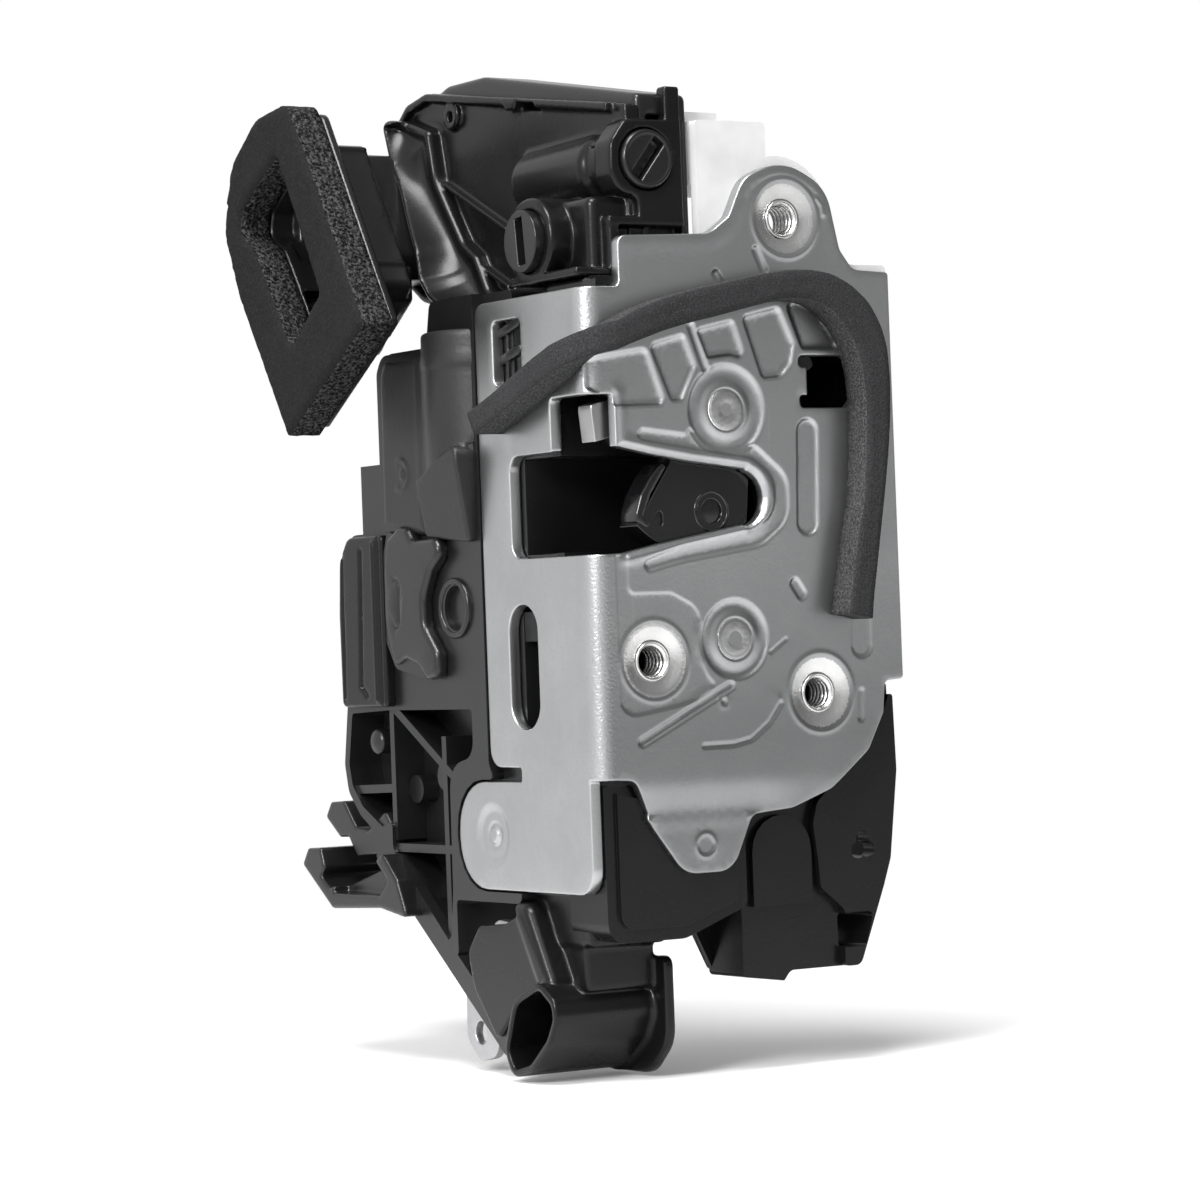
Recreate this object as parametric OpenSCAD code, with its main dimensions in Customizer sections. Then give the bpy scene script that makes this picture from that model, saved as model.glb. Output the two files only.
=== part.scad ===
// Car door lock: a rotary latch, its lock actuator and the key funnel, in millimetres.
// +Z is up. The latch plate faces -Y and its side flange faces -X. The origin is the axis of the
// latched striker, on the outer face of the latch plate.

/* [Latch plate] */
// Thickness of the steel plate
plate_t = 2.5; // [2:0.1:3]
// Distance of the flange's outer face from the striker axis
plate_left = 36.75; // [35:0.25:40]
// Distance of the plate's right edge from the striker axis
plate_right = 37.3; // [35:0.25:40]
// Height of the flange's top edge
plate_top = 42.1; // [40:0.5:48]
// Depth of the flange behind the plate's face
flange_depth = 42.2; // [40:0.2:46]
// Outer radius of the fold
fold_r = 4; // [3:0.5:5]
// Radius of the mouth's round end
mouth_r = 5.45; // [5:0.05:6]
// Half the mouth's height at the fold
mouth_half = 10.3; // [9:0.1:11]
// Depth of the mouth in the flange
mouth_depth = 30.4; // [28:0.2:31]
// Diameter of the threaded mounting holes
bolt_d = 8; // [6:1:8]
// Radius of the dished seat round each mounting hole
seat_r = 7.4; // [6.5:0.1:8]
// Depth of the pressed pockets
press_d = 0.6; // [0.3:0.1:0.9]
// Radius of the tab that carries the upper mounting hole
tab_r = 11.3; // [10:0.1:12]

/* [Fork bolt and pawl] */
// Fork bolt pivot, right of the striker axis
fork_x = -3.9; // [-5:0.1:-3]
// Fork bolt pivot, above the striker axis
fork_z = 17.8; // [17:0.1:19]
// Greatest radius of the fork bolt
fork_r = 30.5; // [28:0.25:31]
// Steel thickness of the fork bolt and pawl
blade_t = 5; // [4:0.25:5.5]
// Thickness of the plastic over each face of the fork bolt
skin_t = 0.8; // [0.6:0.1:1]
// Half the width of the slot that holds the striker
slot_r = 5.6; // [5.2:0.1:6]
// Radius of the fork bolt's pivot pin
fork_pin_r = 5; // [4:0.25:6]
// Pawl pivot, right of the striker axis
pawl_x = -3.8; // [-5:0.1:-3]
// Pawl pivot, above the striker axis
pawl_z = -28; // [-29:0.1:-27]
// Radius of the pawl's pivot pin
pawl_pin_r = 4; // [3:0.25:5]
// Radial running clearance of every pivot
run = 0.06; // [0.03:0.01:0.1]
// Side clearance between moving plates
gap = 0.6; // [0.4:0.1:0.8]

/* [Housing] */
// Wall thickness of the plastic housings
wall = 2; // [1.6:0.1:2.5]
// Depth of the latch case behind the plate
case_depth = 15; // [14.5:0.5:18]
// Outer face of the actuator housing
side_x = -37; // [-38:0.25:-36.5]
// Thickness of the actuator housing, lid included
side_t = 24; // [23:0.5:28]
// Thickness of the actuator lid
lid_t = 2.4; // [2:0.1:3]
// Radius of the motor bulge
bulge_r = 12; // [11.8:0.1:13]
// Face of the upper case's main panel
panel_x = -22; // [-23:0.25:-21]
// Depth of the upper cover behind the panel
cover_t = 11; // [9:0.5:13]
// Radius of the slotted emergency lock
rotor_r = 6.1; // [5.5:0.1:6.5]
// Radius of the slotted setting knob
knob_r = 6.2; // [5.5:0.1:6.5]
// Height of the foam seal strip
strip_h = 6.5; // [5:0.5:7]
// Thickness of the foam ring round the key funnel
foam_t = 8; // [6:0.5:9]
// Face of the foam ring
foam_x = -57; // [-60:0.5:-56]

/* [Lock drive] */
// Radius of the motor can
motor_r = 10; // [9:0.1:10.2]
// Module of the worm wheel
gear_m = 1; // [0.9:0.05:1.05]
// Teeth of the worm wheel
wheel_teeth = 28; // [26:2:28]
// Teeth of the wheel's pinion
pinion_teeth = 12; // [12:1:13]
// Width of the pinion and rack
pinion_w = 5; // [4:0.5:6]

/* [Hidden] */
$fn = 48;
black = [0.10, 0.10, 0.11];
grey = [0.16, 0.16, 0.17];
steel = [0.62, 0.63, 0.65];
e = 0.01;

// Rounded polygons: each point is [x, y, radius], in order round the outline
function unit(v) = v / norm(v);
function corner(a, b, c, n) =
    let (r = len(b) > 2 ? b[2] : 0, p = [b[0], b[1]])
    r == 0 ? [p] :
    let (u = unit([a[0], a[1]] - p), v = unit([c[0], c[1]] - p), half = acos(u * v) / 2,
        o = p + unit(u + v) * (r / sin(half)), s = p + u * (r / tan(half)), t = p + v * (r / tan(half)),
        a0 = atan2(s[1] - o[1], s[0] - o[0]), a1 = atan2(t[1] - o[1], t[0] - o[0]),
        da = ((a1 - a0 + 540) % 360) - 180)
    [for (k = [0:n]) o + r * [cos(a0 + da * k / n), sin(a0 + da * k / n)]];
function rounded(p, n = 5) = [for (i = [0:len(p) - 1])
    each corner(p[(i + len(p) - 1) % len(p)], p[i], p[(i + 1) % len(p)], n)];
function cross2(u, v) = u[0] * v[1] - u[1] * v[0];
function area2(p) = [for (i = [0:len(p) - 1])
    cross2(p[i], p[(i + 1) % len(p)])] * [for (i = [0:len(p) - 1]) 1];
// The same outline with every side moved inwards by d
function inset(p, d) = let (w = area2(p) > 0 ? 1 : -1, m = len(p)) [for (i = [0:m - 1])
    let (a = p[(i + m - 1) % m], b = p[i], c = p[(i + 1) % m],
        u = unit([b[0] - a[0], b[1] - a[1]]), v = unit([c[0] - b[0], c[1] - b[1]]),
        n1 = w * [-u[1], u[0]], n2 = w * [-v[1], v[0]], r = len(b) > 2 ? b[2] : 0,
        k = d / (1 + n1 * n2), turn = w * cross2(u, v))
    [b[0] + k * (n1[0] + n2[0]), b[1] + k * (n1[1] + n2[1]), r == 0 ? 0 : max(0.2, r - sign(turn) * d)]];
function arc(x, y, r, a0, a1, n) = [for (k = [0:n])
    [x + r * cos(a0 + (a1 - a0) * k / n), y + r * sin(a0 + (a1 - a0) * k / n)]];
function turned(p, a, c) = [for (q = p) [c[0] + (q[0] - c[0]) * cos(a) - (q[1] - c[1]) * sin(a),
    c[1] + (q[0] - c[0]) * sin(a) + (q[1] - c[1]) * cos(a), len(q) > 2 ? q[2] : 0]];

// An outline in X and Z, pushed back along +Y from y0 by h
module front(y0, h) { translate([0, y0 + h, 0]) rotate([90, 0, 0]) linear_extrude(h) children(); }
// An outline in Y and Z, pushed along +X from x0 by h
module side(x0, h) { translate([x0, 0, 0]) rotate([90, 0, 90]) linear_extrude(h) children(); }
// Round bars along each axis, from a point on their axis
module rod_y(x, z, y0, h, r) { translate([x, y0 + h, z]) rotate([90, 0, 0]) cylinder(h = h, r = r); }
module rod_x(y, z, x0, h, r) { translate([x0, y, z]) rotate([0, 90, 0]) cylinder(h = h, r = r); }
module rod_z(x, y, z0, h, r) { translate([x, y, z0]) cylinder(h = h, r = r); }
module box(x0, x1, y0, y1, z0, z1) { translate([x0, y0, z0]) cube([x1 - x0, y1 - y0, z1 - z0]); }

// Levels behind the plate's outer face
flange_in = -plate_left + plate_t;
core_y = plate_t + gap + skin_t;
core_end = core_y + blade_t;
skin_end = core_end + skin_t;
back_y = skin_end + 3;
back_t = 2;
case_in = back_y + back_t;
split_z = plate_top + 2.3;
case_end = plate_t + case_depth;
bolts = [[12, 56.4], [-23, -31.7], [16.5, -39.4]];
bolt_collar_r = bolt_d / 2 + 2.2;
bolt_collar_end = plate_t + 6;
press_r = 8.1;
pin_neck = 3.5;

// Latch plate
front_outline = [[-plate_left + fold_r, plate_top], [-28.2, plate_top, 1.2], [-28.2, 52, 2],
    [-1.5, 52.2, 5], [12 - tab_r, bolts[0][1] + tab_r, tab_r - 0.6],
    [12 + tab_r, bolts[0][1] + tab_r, tab_r - 0.6], [25.2, 46.2, 7], [plate_right, 46, 0.8],
    [plate_right, -37.3, 0.8], [32.6, -37.6, 1.5], [32, -44, 3], [28, -51.5, 5], [18.5, -59, 6],
    [9, -62.4, 6], [-1, -62.6, 1.5], [-5.5, -74.2, 5.5], [-17, -74.2, 6], [-24.6, -62.6, 1],
    [-31.2, -54.9, 1], [-plate_left + fold_r, -54.9]];
lug_y = 55.9;
flange_outline = [[fold_r, plate_top], [flange_depth, plate_top, 3], [flange_depth, -52.3, 4],
    [30.1, -52.4], [30.1, -55.2], [lug_y, -55.2, 10.5], [lug_y, -77.4, 10.5], [fold_r, -77.4, 5],
    [fold_r, -54.9]];
mouth_a = 82;
mouth = concat([[-plate_left - 3, mouth_half + 0.4]], arc(0, 0, mouth_r, mouth_a, -mouth_a, 16),
    [[-plate_left - 3, -mouth_half - 0.4]]);
jaw_window = [-30.2, 13.9, 9, 21];
tee_window = [[14.2, 28.7, 1], [25.5, 28.7, 2], [27.4, 26.5, 1.5], [27.4, 19.5, 1.5], [25.6, 18.2, 1],
    [14.2, 18.2, 1], [14.2, 20.6, 0.8], [15.8, 20.6, 0.4], [15.8, 26.7, 0.4], [14.2, 26.7, 0.8]];
pockets = [
    [[-29.5, 18.3, 0.8], [-18, 18.6, 1.5], [-22.2, 30.2, 1.6], [-31, 28.6, 0.8]],
    [[-21.8, 30.8, 1.4], [-16.9, 19.2, 1.4], [-14.2, 19.6, 1.2], [-10.6, 26.3, 1.2], [-13.3, 33, 1.2]],
    [[-10.6, 33.9, 0.8], [-8, 27.8, 0.8], [-2.3, 28.3, 4], [1.6, 27.4, 1.2], [-1.4, 35.9, 1.2]],
    [[0.5, 36.6, 1.2], [5, 24, 1.5], [9.8, 24.2, 3], [12.5, 27, 2], [13.2, 31, 1.2], [9.8, 38.7, 1.6]],
    [[11.2, 39.4, 1.5], [15, 29.9, 1.2], [23.4, 30, 1.4], [24.4, 32, 1.2], [19.6, 38.2, 3], [15, 40.2, 4]]];
// Outlines of the U-shaped channel round the mouth, of the web's slit and of the small grooves
channel = [[-24.5, 11.7], [-7, 9], [1.9, 7.8], [4.4, 6.3], [6.3, 3.8], [6.9, 0.8], [6.3, -2.1], [4.4, -4.6],
    [1.8, -5.8], [-5.3, -6.9], [-15.8, -8.8], [-24, -11.6], [-24.8, -12.6], [-24, -14], [-15.9, -12.4],
    [1.1, -9.9], [4.2, -8.7], [7.4, -6.3], [9.9, -1.3], [9.8, 2.1], [8.4, 5.9], [5.5, 9.2], [2.1, 10.8],
    [-3.9, 12.5], [-13.2, 14.4], [-13.6, 13.1], [-24.2, 14], [-25.3, 12.9]];
grooves = [[[-26.6, -47.6], [-5.3, -37.2], 0.9], [[26.6, -39.6], [26.2, -45], 0.7],
    [[-11.6, 34.2], [-8.4, 26.2], 0.7], [[15.4, 13.5], [15, -5.2], 2.4], [[11.2, -17.2], [12.7, -19.4],
    1.1],
    [[4.8, 49.8], [6.7, 45.6], 0.7]];
// A round-ended slot from a to b
function slot_points(a, b, r) = let (t = atan2(b[1] - a[1], b[0] - a[0]))
    concat(arc(b[0], b[1], r, t - 90, t + 90, 8), arc(a[0], a[1], r, t + 90, t + 270, 8));
module latch_plate() color(steel) difference() {
    union() {
        front(0, plate_t) polygon(rounded(front_outline));
        side(-plate_left, plate_t) polygon(rounded(flange_outline));
        intersection() {
            difference() {
                rod_z(-plate_left + fold_r, fold_r, -54.9, plate_top + 54.9, fold_r);
                rod_z(-plate_left + fold_r, fold_r, -60, 120, fold_r - plate_t);
            }
            box(-plate_left - 1, -plate_left + fold_r, -1, fold_r, -60, 50);
        }
        for (b = bolts) rod_y(b[0], b[1], plate_t - e, bolt_collar_end - plate_t + e, bolt_collar_r);
    }
    front(-1, 8) polygon(mouth);
    side(-plate_left - 1, plate_t + fold_r) polygon(rounded([[-2, mouth_half], [mouth_depth, mouth_half, 3],
        [mouth_depth, -mouth_half, 3], [-2, -mouth_half]]));
    box(-plate_left - 1, jaw_window[0], -1, jaw_window[1], jaw_window[2], jaw_window[3]);
    front(-1, plate_t + 2) polygon(rounded(tee_window, 3));
    for (p = pockets) front(-1, 1 + press_d) polygon(rounded(p, 3));
    front(-1, 1 + press_d) polygon(channel);
    for (g = grooves) front(-1, 1 + press_d) polygon(slot_points(g[0], g[1], g[2]));
    for (s = [[fork_x, fork_z, press_r + 1.2], [pawl_x, pawl_z, press_r]]) rod_y(s[0], s[1], -1,
        1 + press_d, s[2]);
    for (s = [[fork_x, fork_z], [pawl_x, pawl_z]]) rod_y(s[0], s[1], -1, plate_t + 2, pin_neck + run);
    for (b = bolts) {
        rod_y(b[0], b[1], -1, bolt_collar_end + 2, bolt_d / 2);
        translate([b[0], 0, b[1]]) rotate([-90, 0, 0]) cylinder(h = 1.2, r1 = seat_r,
            r2 = bolt_d / 2 + 0.4);
    }
    side(-plate_left - 1, plate_t + 2) polygon(rounded([[21.9, -19.6, 5.4], [33, -19.6, 5.4],
        [33, -44.7, 5.4], [21.9, -44.7, 5.4]]));
    side(-plate_left - 1, plate_t + 2) polygon(rounded([[24.3, 38, 1.5], [35.3, 38, 1.5], [35.3, 25,
        1.5], [24.3, 25, 1.5]]));
    rod_x(41.2, -66.2, -plate_left - 1, 1 + press_d, 7);
}

// Latch case: cavity in front for the fork bolt and pawl, mouth tunnel behind
case_left = flange_in + 0.2;
case_bottom = -87;
case_outline = [[case_left, split_z, 1.5], [plate_right - 1.1, split_z, 3],
    [plate_right - 1.1, -36.4, 1.5], [31.2, -36.6, 1.5], [30.6, -44, 3], [26.6, -50.8, 5], [18.2, -57.4, 5],
    [9, -61, 3], [-1, -61.5], [-1, -81.4, 2], [-16, case_bottom, 6], [case_left, case_bottom, 4]];
cavity = [[case_left - 5, 22], [case_left - 0.1 + wall, 22, 2], [-30, 38, 6], [-6, plate_top - 1.2, 3],
    [22, plate_top - 1.2, 4], [plate_right - 1.1 - wall, 30, 4], [31, 2, 5], [28, -14, 4], [24, -29, 4],
    [8, -31, 3],
    [7, -38.5, 4], [-15.5, -38.5, 3], [-15.7, -16, 3], [case_left - 5, -16]];
tunnel_half = mouth_half - 0.7;
tunnel_end = 31;
tail_x = pawl_x - 7.8;
tail_z = pawl_z - 3;
block_front = [[case_left + 2.6, -57.5], [-6, -64, 2], [-3.6, -70, 2], [-3.6, -80, 1.5], [-16.4,
    case_bottom + 2.6, 5],
    [case_left + 2.6, case_bottom + 2.6, 3]];
module latch_case() color(black) difference() {
    union() {
        front(plate_t, case_depth) polygon(rounded(case_outline));
        for (z = [-50, -24, 24, 36]) box(case_left, case_left + 1.8, case_end - e, tunnel_end, z - 3, z + 3);
        for (z = [28, -22]) front(case_end - e, 4) polygon([[-28, z - 0.8], [33, z - 0.8], [33, z + 0.8],
            [-28, z + 0.8]]);
        for (x = [-14, 20]) box(x - 0.8, x + 0.8, case_end - e, case_end + 4, 14, 40);
        for (x = [-26, 22]) box(x - 0.8, x + 0.8, case_end - e, case_end + 4, -46, -14);
    }
    front(0, case_in) polygon(rounded(cavity));
    front(case_in - 1, 12) polygon(rounded(pocket_hollow));
    // Corner relief for the plate's fold
    translate([0, 0, -56]) linear_extrude(100) polygon([[case_left - 1, 1], [case_left + 2, 1],
        [case_left + 2, plate_t], [case_left, plate_t + 2], [case_left - 1, plate_t + 2]]);
    for (b = [bolts[1], bolts[2]]) rod_y(b[0], b[1], 0, bolt_collar_end + 4, bolt_collar_r + 0.3);
    for (s = [[fork_x, fork_z], [pawl_x, pawl_z]]) rod_y(s[0], s[1], 0, case_end + 6, 6.4);
    front(0, case_end + 8) translate([tail_x - 0.2, tail_z + 0.9]) circle(3.6);
    rod_y(lever_x, lever_z, case_end - 6, 10, 3);
    // Front step of the lower block, and its hollow back
    front(plate_t - 1, 1.9) difference() {
        polygon([[case_left - 2, -56], [0, -56], [0, -92], [case_left - 2, -92]]);
        polygon(rounded(block_front));
    }
    front(plate_t + wall + 1, case_depth) polygon(rounded([[case_left + wall, -64, 2], [-3, -64, 2],
        [-3, -79.8, 1], [-16.6, case_bottom + wall, 5], [case_left + wall, case_bottom + wall, 3]]));
    front(bolt_collar_end + 6, case_depth) polygon(rounded([[12, -44, 2], [20, -45.2, 2], [24, -49, 2],
        [17, -55, 3], [12, -57, 2]]));
}
// Pocket for the striker behind the case, open towards -X and the case
pocket_hollow = [[case_left - 4, tunnel_half], [9.5, tunnel_half, 4], [9.5, -tunnel_half, 4],
    [case_left - 4, -tunnel_half]];
module striker_pocket() color(black) difference() {
    front(case_end, tunnel_end - case_end) polygon(rounded([[case_left, tunnel_half + wall, 0.6],
        [11.5, tunnel_half + wall, 6], [11.5, -tunnel_half - wall, 6], [case_left, -tunnel_half - wall, 0.6]]));
    front(case_end - 1, tunnel_end - wall - case_end + 1) polygon(rounded(pocket_hollow));
}

// Steel back plate that ties the two pivots together
back_outline = [[-18, 36, 4], [10, 38, 6], [23, 24, 6], [25, -6, 8], [14, -25.5, 6], [6.4, -29.4, 3],
    [5.8, -37, 3], [-7, -37.5, 4], [-13.5, -24, 4], [-13.5, -tunnel_half - wall, 2], [8, -tunnel_half - wall, 6], [14, 0, 6], [8,
    tunnel_half + wall, 6],
    [-22, tunnel_half + wall, 2], [-24, 24, 4]];
module back_plate() color(steel) difference() {
    front(back_y, back_t) polygon(rounded(back_outline));
    for (s = [[fork_x, fork_z], [pawl_x, pawl_z]]) rod_y(s[0], s[1], 0, 30, pin_neck + run);
    front(0, 30) translate([tail_x - 0.2, tail_z + 0.9]) circle(3.4);
    rod_y(16, 14, 0, 30, 3);
    rod_y(-12, 26, 0, 30, 2.2);
}

// Fork bolt, drawn open, about its own pivot. Its slot meets the striker after closing turns it
// by fork_turn degrees about -Y.
fork_turn = 78.5;
striker_arm = norm([fork_x, fork_z]);
slot_a = atan2(-fork_z, -fork_x) - fork_turn;
slot_c = striker_arm * [cos(slot_a), sin(slot_a)];
slot_dir = slot_a + 32.3;
hub_r = fork_pin_r + 7.5;
jaw_r = fork_r - 1.1;
tip_a = -131.7;
stop_a = 31;
fork_outline = concat(
    arc(0, 0, hub_r + 9.5, stop_a, stop_a + 17, 4),
    arc(0, 0, hub_r, 66, 148, 8),
    [jaw_r * [cos(177.5), sin(177.5)], jaw_r * [cos(180), sin(180)], jaw_r * [cos(192), sin(192)]],
    arc(slot_c[0], slot_c[1], slot_r, slot_dir - 90, slot_dir - 270, 12),
    arc(0, 0, fork_r, tip_a, -80, 8),
    [[fork_r * 0.2, -fork_r * 0.74], [hub_r * 0.56, -hub_r * 1.02]],
    arc(0, 0, hub_r, -52, stop_a, 6));
core_outline = rounded(inset(fork_outline, 1.2));
module at_fork() { translate([fork_x, fork_z]) children(); }
// The bare steel end of the upper jaw
module jaw_end() { polygon([[-jaw_r - 3, 5], [-jaw_r + 4.6, 5], [-jaw_r + 4.6, -9], [-jaw_r - 3, -9]]); }
module core_2d() {
    at_fork() {
        polygon(core_outline);
        intersection() { polygon(fork_outline); jaw_end(); }
    }
}
module fork_bolt() color(steel) difference() {
    front(core_y, blade_t) core_2d();
    rod_y(fork_x, fork_z, 0, 30, fork_pin_r + run);
}
module fork_bolt_overmould() color(black) difference() {
    front(core_y - skin_t, blade_t + 2 * skin_t) at_fork() difference() { polygon(fork_outline); jaw_end(); }
    front(core_y - 0.03, blade_t + 0.06) at_fork() polygon(rounded(inset(fork_outline, 1.17)));
    rod_y(fork_x, fork_z, 0, 30, fork_pin_r + 2.5);
    // Damping slot behind the leading edge, and the spring's hole
    front(core_y - 2, 2) at_fork() polygon(rounded([[-14.2, -18.6, 0.6], [-16, -21.4, 0.4], [-14, -23.6,
        0.4]], 2));
    rod_y(fork_x - 2.4, fork_z - 20.1, core_y - 2, 2, 2.4);
}
module pivot_pin(x, z, r) {
    rod_y(x, z, press_d - 0.5, plate_t - press_d + 0.6, pin_neck);
    rod_y(x, z, press_d - 0.5, 0.5, pin_neck + 0.7);
    rod_y(x, z, plate_t, back_y - plate_t, r);
    rod_y(x, z, back_y - e, back_t + 0.3, pin_neck);
    rod_y(x, z, back_y + back_t, 1.6, pin_neck + 1.6);
}
module fork_bolt_pin() color(steel) pivot_pin(fork_x, fork_z, fork_pin_r);

// Flat coils of spring wire round a pivot, with two straight legs
module pivot_spring(x, z, r, wire, y0, leg_a, leg_b, leg) {
    for (k = [0, 1]) translate([x, y0 + wire * (k + 0.5) + 0.15 * k, z]) rotate([90, 0, 0])
        rotate_extrude($fn = 36) translate([r, 0]) circle(wire / 2, $fn = 16);
    for (s = [[leg_a, 0], [leg_b, 1]]) translate([x, y0 + wire * (s[1] + 0.5) + 0.15 * s[1],
        z]) rotate([0, -s[0], 0])
        translate([0, 0, r]) rotate([0, 86, 0]) cylinder(h = leg, r = wire * 0.42, $fn = 16);
    // The turn that joins the two coils
    translate([x, y0 + wire / 2, z]) rotate([0, -60, 0]) translate([0, 0, r]) rotate([-90, 0, 0])
        cylinder(h = wire + 0.15, r = wire * 0.4, $fn = 16);
}
module fork_bolt_spring() color(steel) pivot_spring(fork_x, fork_z, fork_pin_r + 2, 1.2, skin_end + 0.25,
    150, 20, 12);
module pawl_spring() color(steel) pivot_spring(pawl_x, pawl_z, pawl_pin_r + 1.5, 1.1, skin_end + 0.25, 200,
    330, 9);

// Rubber buffer that the fork bolt's stop lug rests on
module fork_stop_buffer() color(grey) front(plate_t, back_y - plate_t) at_fork()
    polygon(rounded(turned([[16.5, -4.4, 1], [25, -4.4, 1], [25, -0.15, 1.5], [16.5, -0.15, 1.5]],
        stop_a, [0, 0]), 3));

// Pawl, drawn resting clear of the fork bolt's rim
nose_gap = 0.5;
nose_r = fork_r + nose_gap;
pawl_arm = 26.3;
pivot_span = norm([fork_x - pawl_x, fork_z - pawl_z]);
nose_a = 90 - acos((pawl_arm * pawl_arm + pivot_span * pivot_span - nose_r * nose_r) / (2 * pawl_arm * pivot_span));
pawl_hub = pawl_pin_r + 4;
pawl_outline = concat(
    [[pawl_hub * cos(nose_a + 90), pawl_hub * sin(nose_a + 90)] + [2, 1],
     (pawl_arm - 7.4) * [cos(nose_a + 9), sin(nose_a + 9)],
     pawl_arm * [cos(nose_a), sin(nose_a)], pawl_arm * [cos(nose_a - 11), sin(nose_a - 11)],
     (pawl_arm - 5) * [cos(nose_a - 20), sin(nose_a - 20)]],
    arc(0, 0, pawl_hub, -30, -150, 8),
    [[tail_x - pawl_x - 2.2, tail_z - pawl_z - 2.2], [tail_x - pawl_x - 2.4, tail_z - pawl_z + 2.2]],
    arc(0, 0, pawl_hub, 165, 150, 2));
module pawl() color(steel) difference() {
    union() {
        front(core_y, blade_t) translate([pawl_x, pawl_z]) polygon(pawl_outline);
        rod_y(tail_x, tail_z, core_y, case_end + 5 - core_y, 2);
    }
    rod_y(pawl_x, pawl_z, 0, 30, pawl_pin_r + run);
}
module pawl_pin() color(steel) pivot_pin(pawl_x, pawl_z, pawl_pin_r);

// Release lever behind the case, which lifts the pawl's tail
lever_x = 5;
lever_z = -50;
lever_y = case_end + 1;
lever_lift = 0.6;
module release_lever() color(steel) difference() {
    front(lever_y, 2.5) difference() {
        polygon(rounded([[lever_x + 6, lever_z - 5, 4], [lever_x + 6, lever_z + 6, 4], [lever_x - 3,
            lever_z + 6, 4],
            [tail_x + 2.5, tail_z - 2 - lever_lift, 1.5], [tail_x - 3.5, tail_z - 2 - lever_lift, 1.5],
            [tail_x - 3.5, tail_z - 7, 2], [lever_x - 6, lever_z - 6, 4]]));
        translate([lever_x, lever_z]) circle(3 + run);
    }
}
module release_lever_pin() color(steel) {
    rod_y(lever_x, lever_z, case_end - 6, 1 + 6 + 2.5 + 0.5, 3);
    rod_y(lever_x, lever_z, lever_y + 3, 1.4, 5);
}

// White end cap behind the upper tab
cap_y = plate_t;
module latch_case_cap() color([0.9, 0.9, 0.88]) difference() {
    union() {
        front(cap_y, 2.2) {
            polygon(rounded([[-7.3, split_z], [-7.3, 76, 1], [9.6, 76, 1], [9.6, split_z]]));
            intersection() {
                translate(bolts[0]) circle(tab_r + 1.6);
                translate([-30, split_z]) square(90);
            }
            polygon(rounded([[0, split_z], [0, 55], [24.4, 55], [26.4, 47.6, 5], [plate_right + 1, 47.6,
                0.8],
                [plate_right + 1, split_z, 0.8]]));
        }
        box(-7.3, 9.4, cap_y + 2, cap_y + 22, 63.2, 76);
        box(-7.3, 2, cap_y + 6, cap_y + 22, 76 - e, 78.4);
    }
    box(-5.6, 7.8, cap_y + 2.2, cap_y + 30, 64.8, 74.4);
    rod_y(bolts[0][0], bolts[0][1], 0, 30, bolt_collar_r + 0.3);
}

// Foam seal strip: flat faces on the plate and the flange
strip_x = -plate_left - strip_h;
strip_outer = [[strip_x, 31.9], [-34.7, 34.8], [-13.4, 41.3, 30], [8.3, 45.6, 12], [18.9, 44.9, 8], [28,
    39.4, 8],
    [32.2, 30.1, 10], [32.1, 15.9, 20], [28.7, -5.7, 30], [25.7, -24.9]];
strip_inner = [[19.9, -23.7], [23.3, -7, 30], [25.9, 9.8, 20], [25.9, 24.7, 8], [21.7, 34.5, 6], [16.5,
    39.2, 5],
    [9.7, 39.9, 8], [-9.7, 35.9, 20], [-28.7, 30.6, 20], [strip_x, 25.8]];
module seal_strip() color([0.3, 0.3, 0.32]) {
    front(-strip_h, strip_h) polygon(rounded(concat(strip_outer, strip_inner), 6));
    side(strip_x, strip_h) polygon(rounded([[-strip_h, 31.9], [2, 30.4, 10], [16.4, 26.1, 30], [35.4, 19.6],
        [33.4, 14.9], [15.8, 20.8, 30], [2, 25.1, 10], [-strip_h, 25.8]]));
}

// Actuator housing: a tray open towards +X, stepped in where the plate's flange covers it
act_outline = [[tunnel_end + 0.3, split_z, 1.5], [60, split_z, 2], [62, 35, 1], [79, 35, 4], [81.6, 31, 3],
    [81.6, -2.6, 0.8], [98, -2.6, 5], [101.9, -9, 4], [101.9, -39, 2], [104.2, -52, 4], [102.8, -58, 4],
    [97.8, -63, 3], [88.8, -68, 2], [88.6, -71.5, 2], [60.4, -93, 3], [57.6, -91, 1.5], [57.6, -79.8, 1],
    [tunnel_end + 0.3, -79.8, 1.5]];
lid_x = side_x + side_t - lid_t;
upper_room = [[33.4, 42.2, 2], [58.2, 42.2, 2], [60, 33, 2], [78, 33, 3], [79.6, 29, 3], [79.6, -4.6, 1],
    [97, -4.6, 4],
    [99.9, -10, 3], [99.9, -38.4, 2], [33.4, -38.4, 2]];
deep_room = [[44.6, 42.2, 1], [58.2, 42.2, 2], [60, 33, 2], [78, 33, 3], [79.6, 29, 3], [79.6, -4.6, 1],
    [97, -4.6, 4],
    [99.9, -10, 3], [99.9, -38.4, 2], [44.6, -38.4, 2]];
lower_room = [[33.4, -37.6, 1], [99.9, -37.6, 1], [102, -52, 3], [100.8, -57, 3], [96.8, -61, 3], [86.8,
    -66, 2],
    [86.6, -70.4, 2], [60.4, -90, 2], [59.6, -77.8, 1], [33.4, -77.8, 2]];
recess = [[48.6, -40.4, 1], [84, -40.4], [100, -41, 1], [102.2, -52, 3], [101, -56.6, 3], [96.8, -61, 3],
    [86.8, -66, 2],
    [86.6, -70.4, 2], [60.6, -90, 2], [59, -78, 1], [58.6, -52, 6], [48.6, -50.2, 4]];
recess_d = 8;
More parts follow.
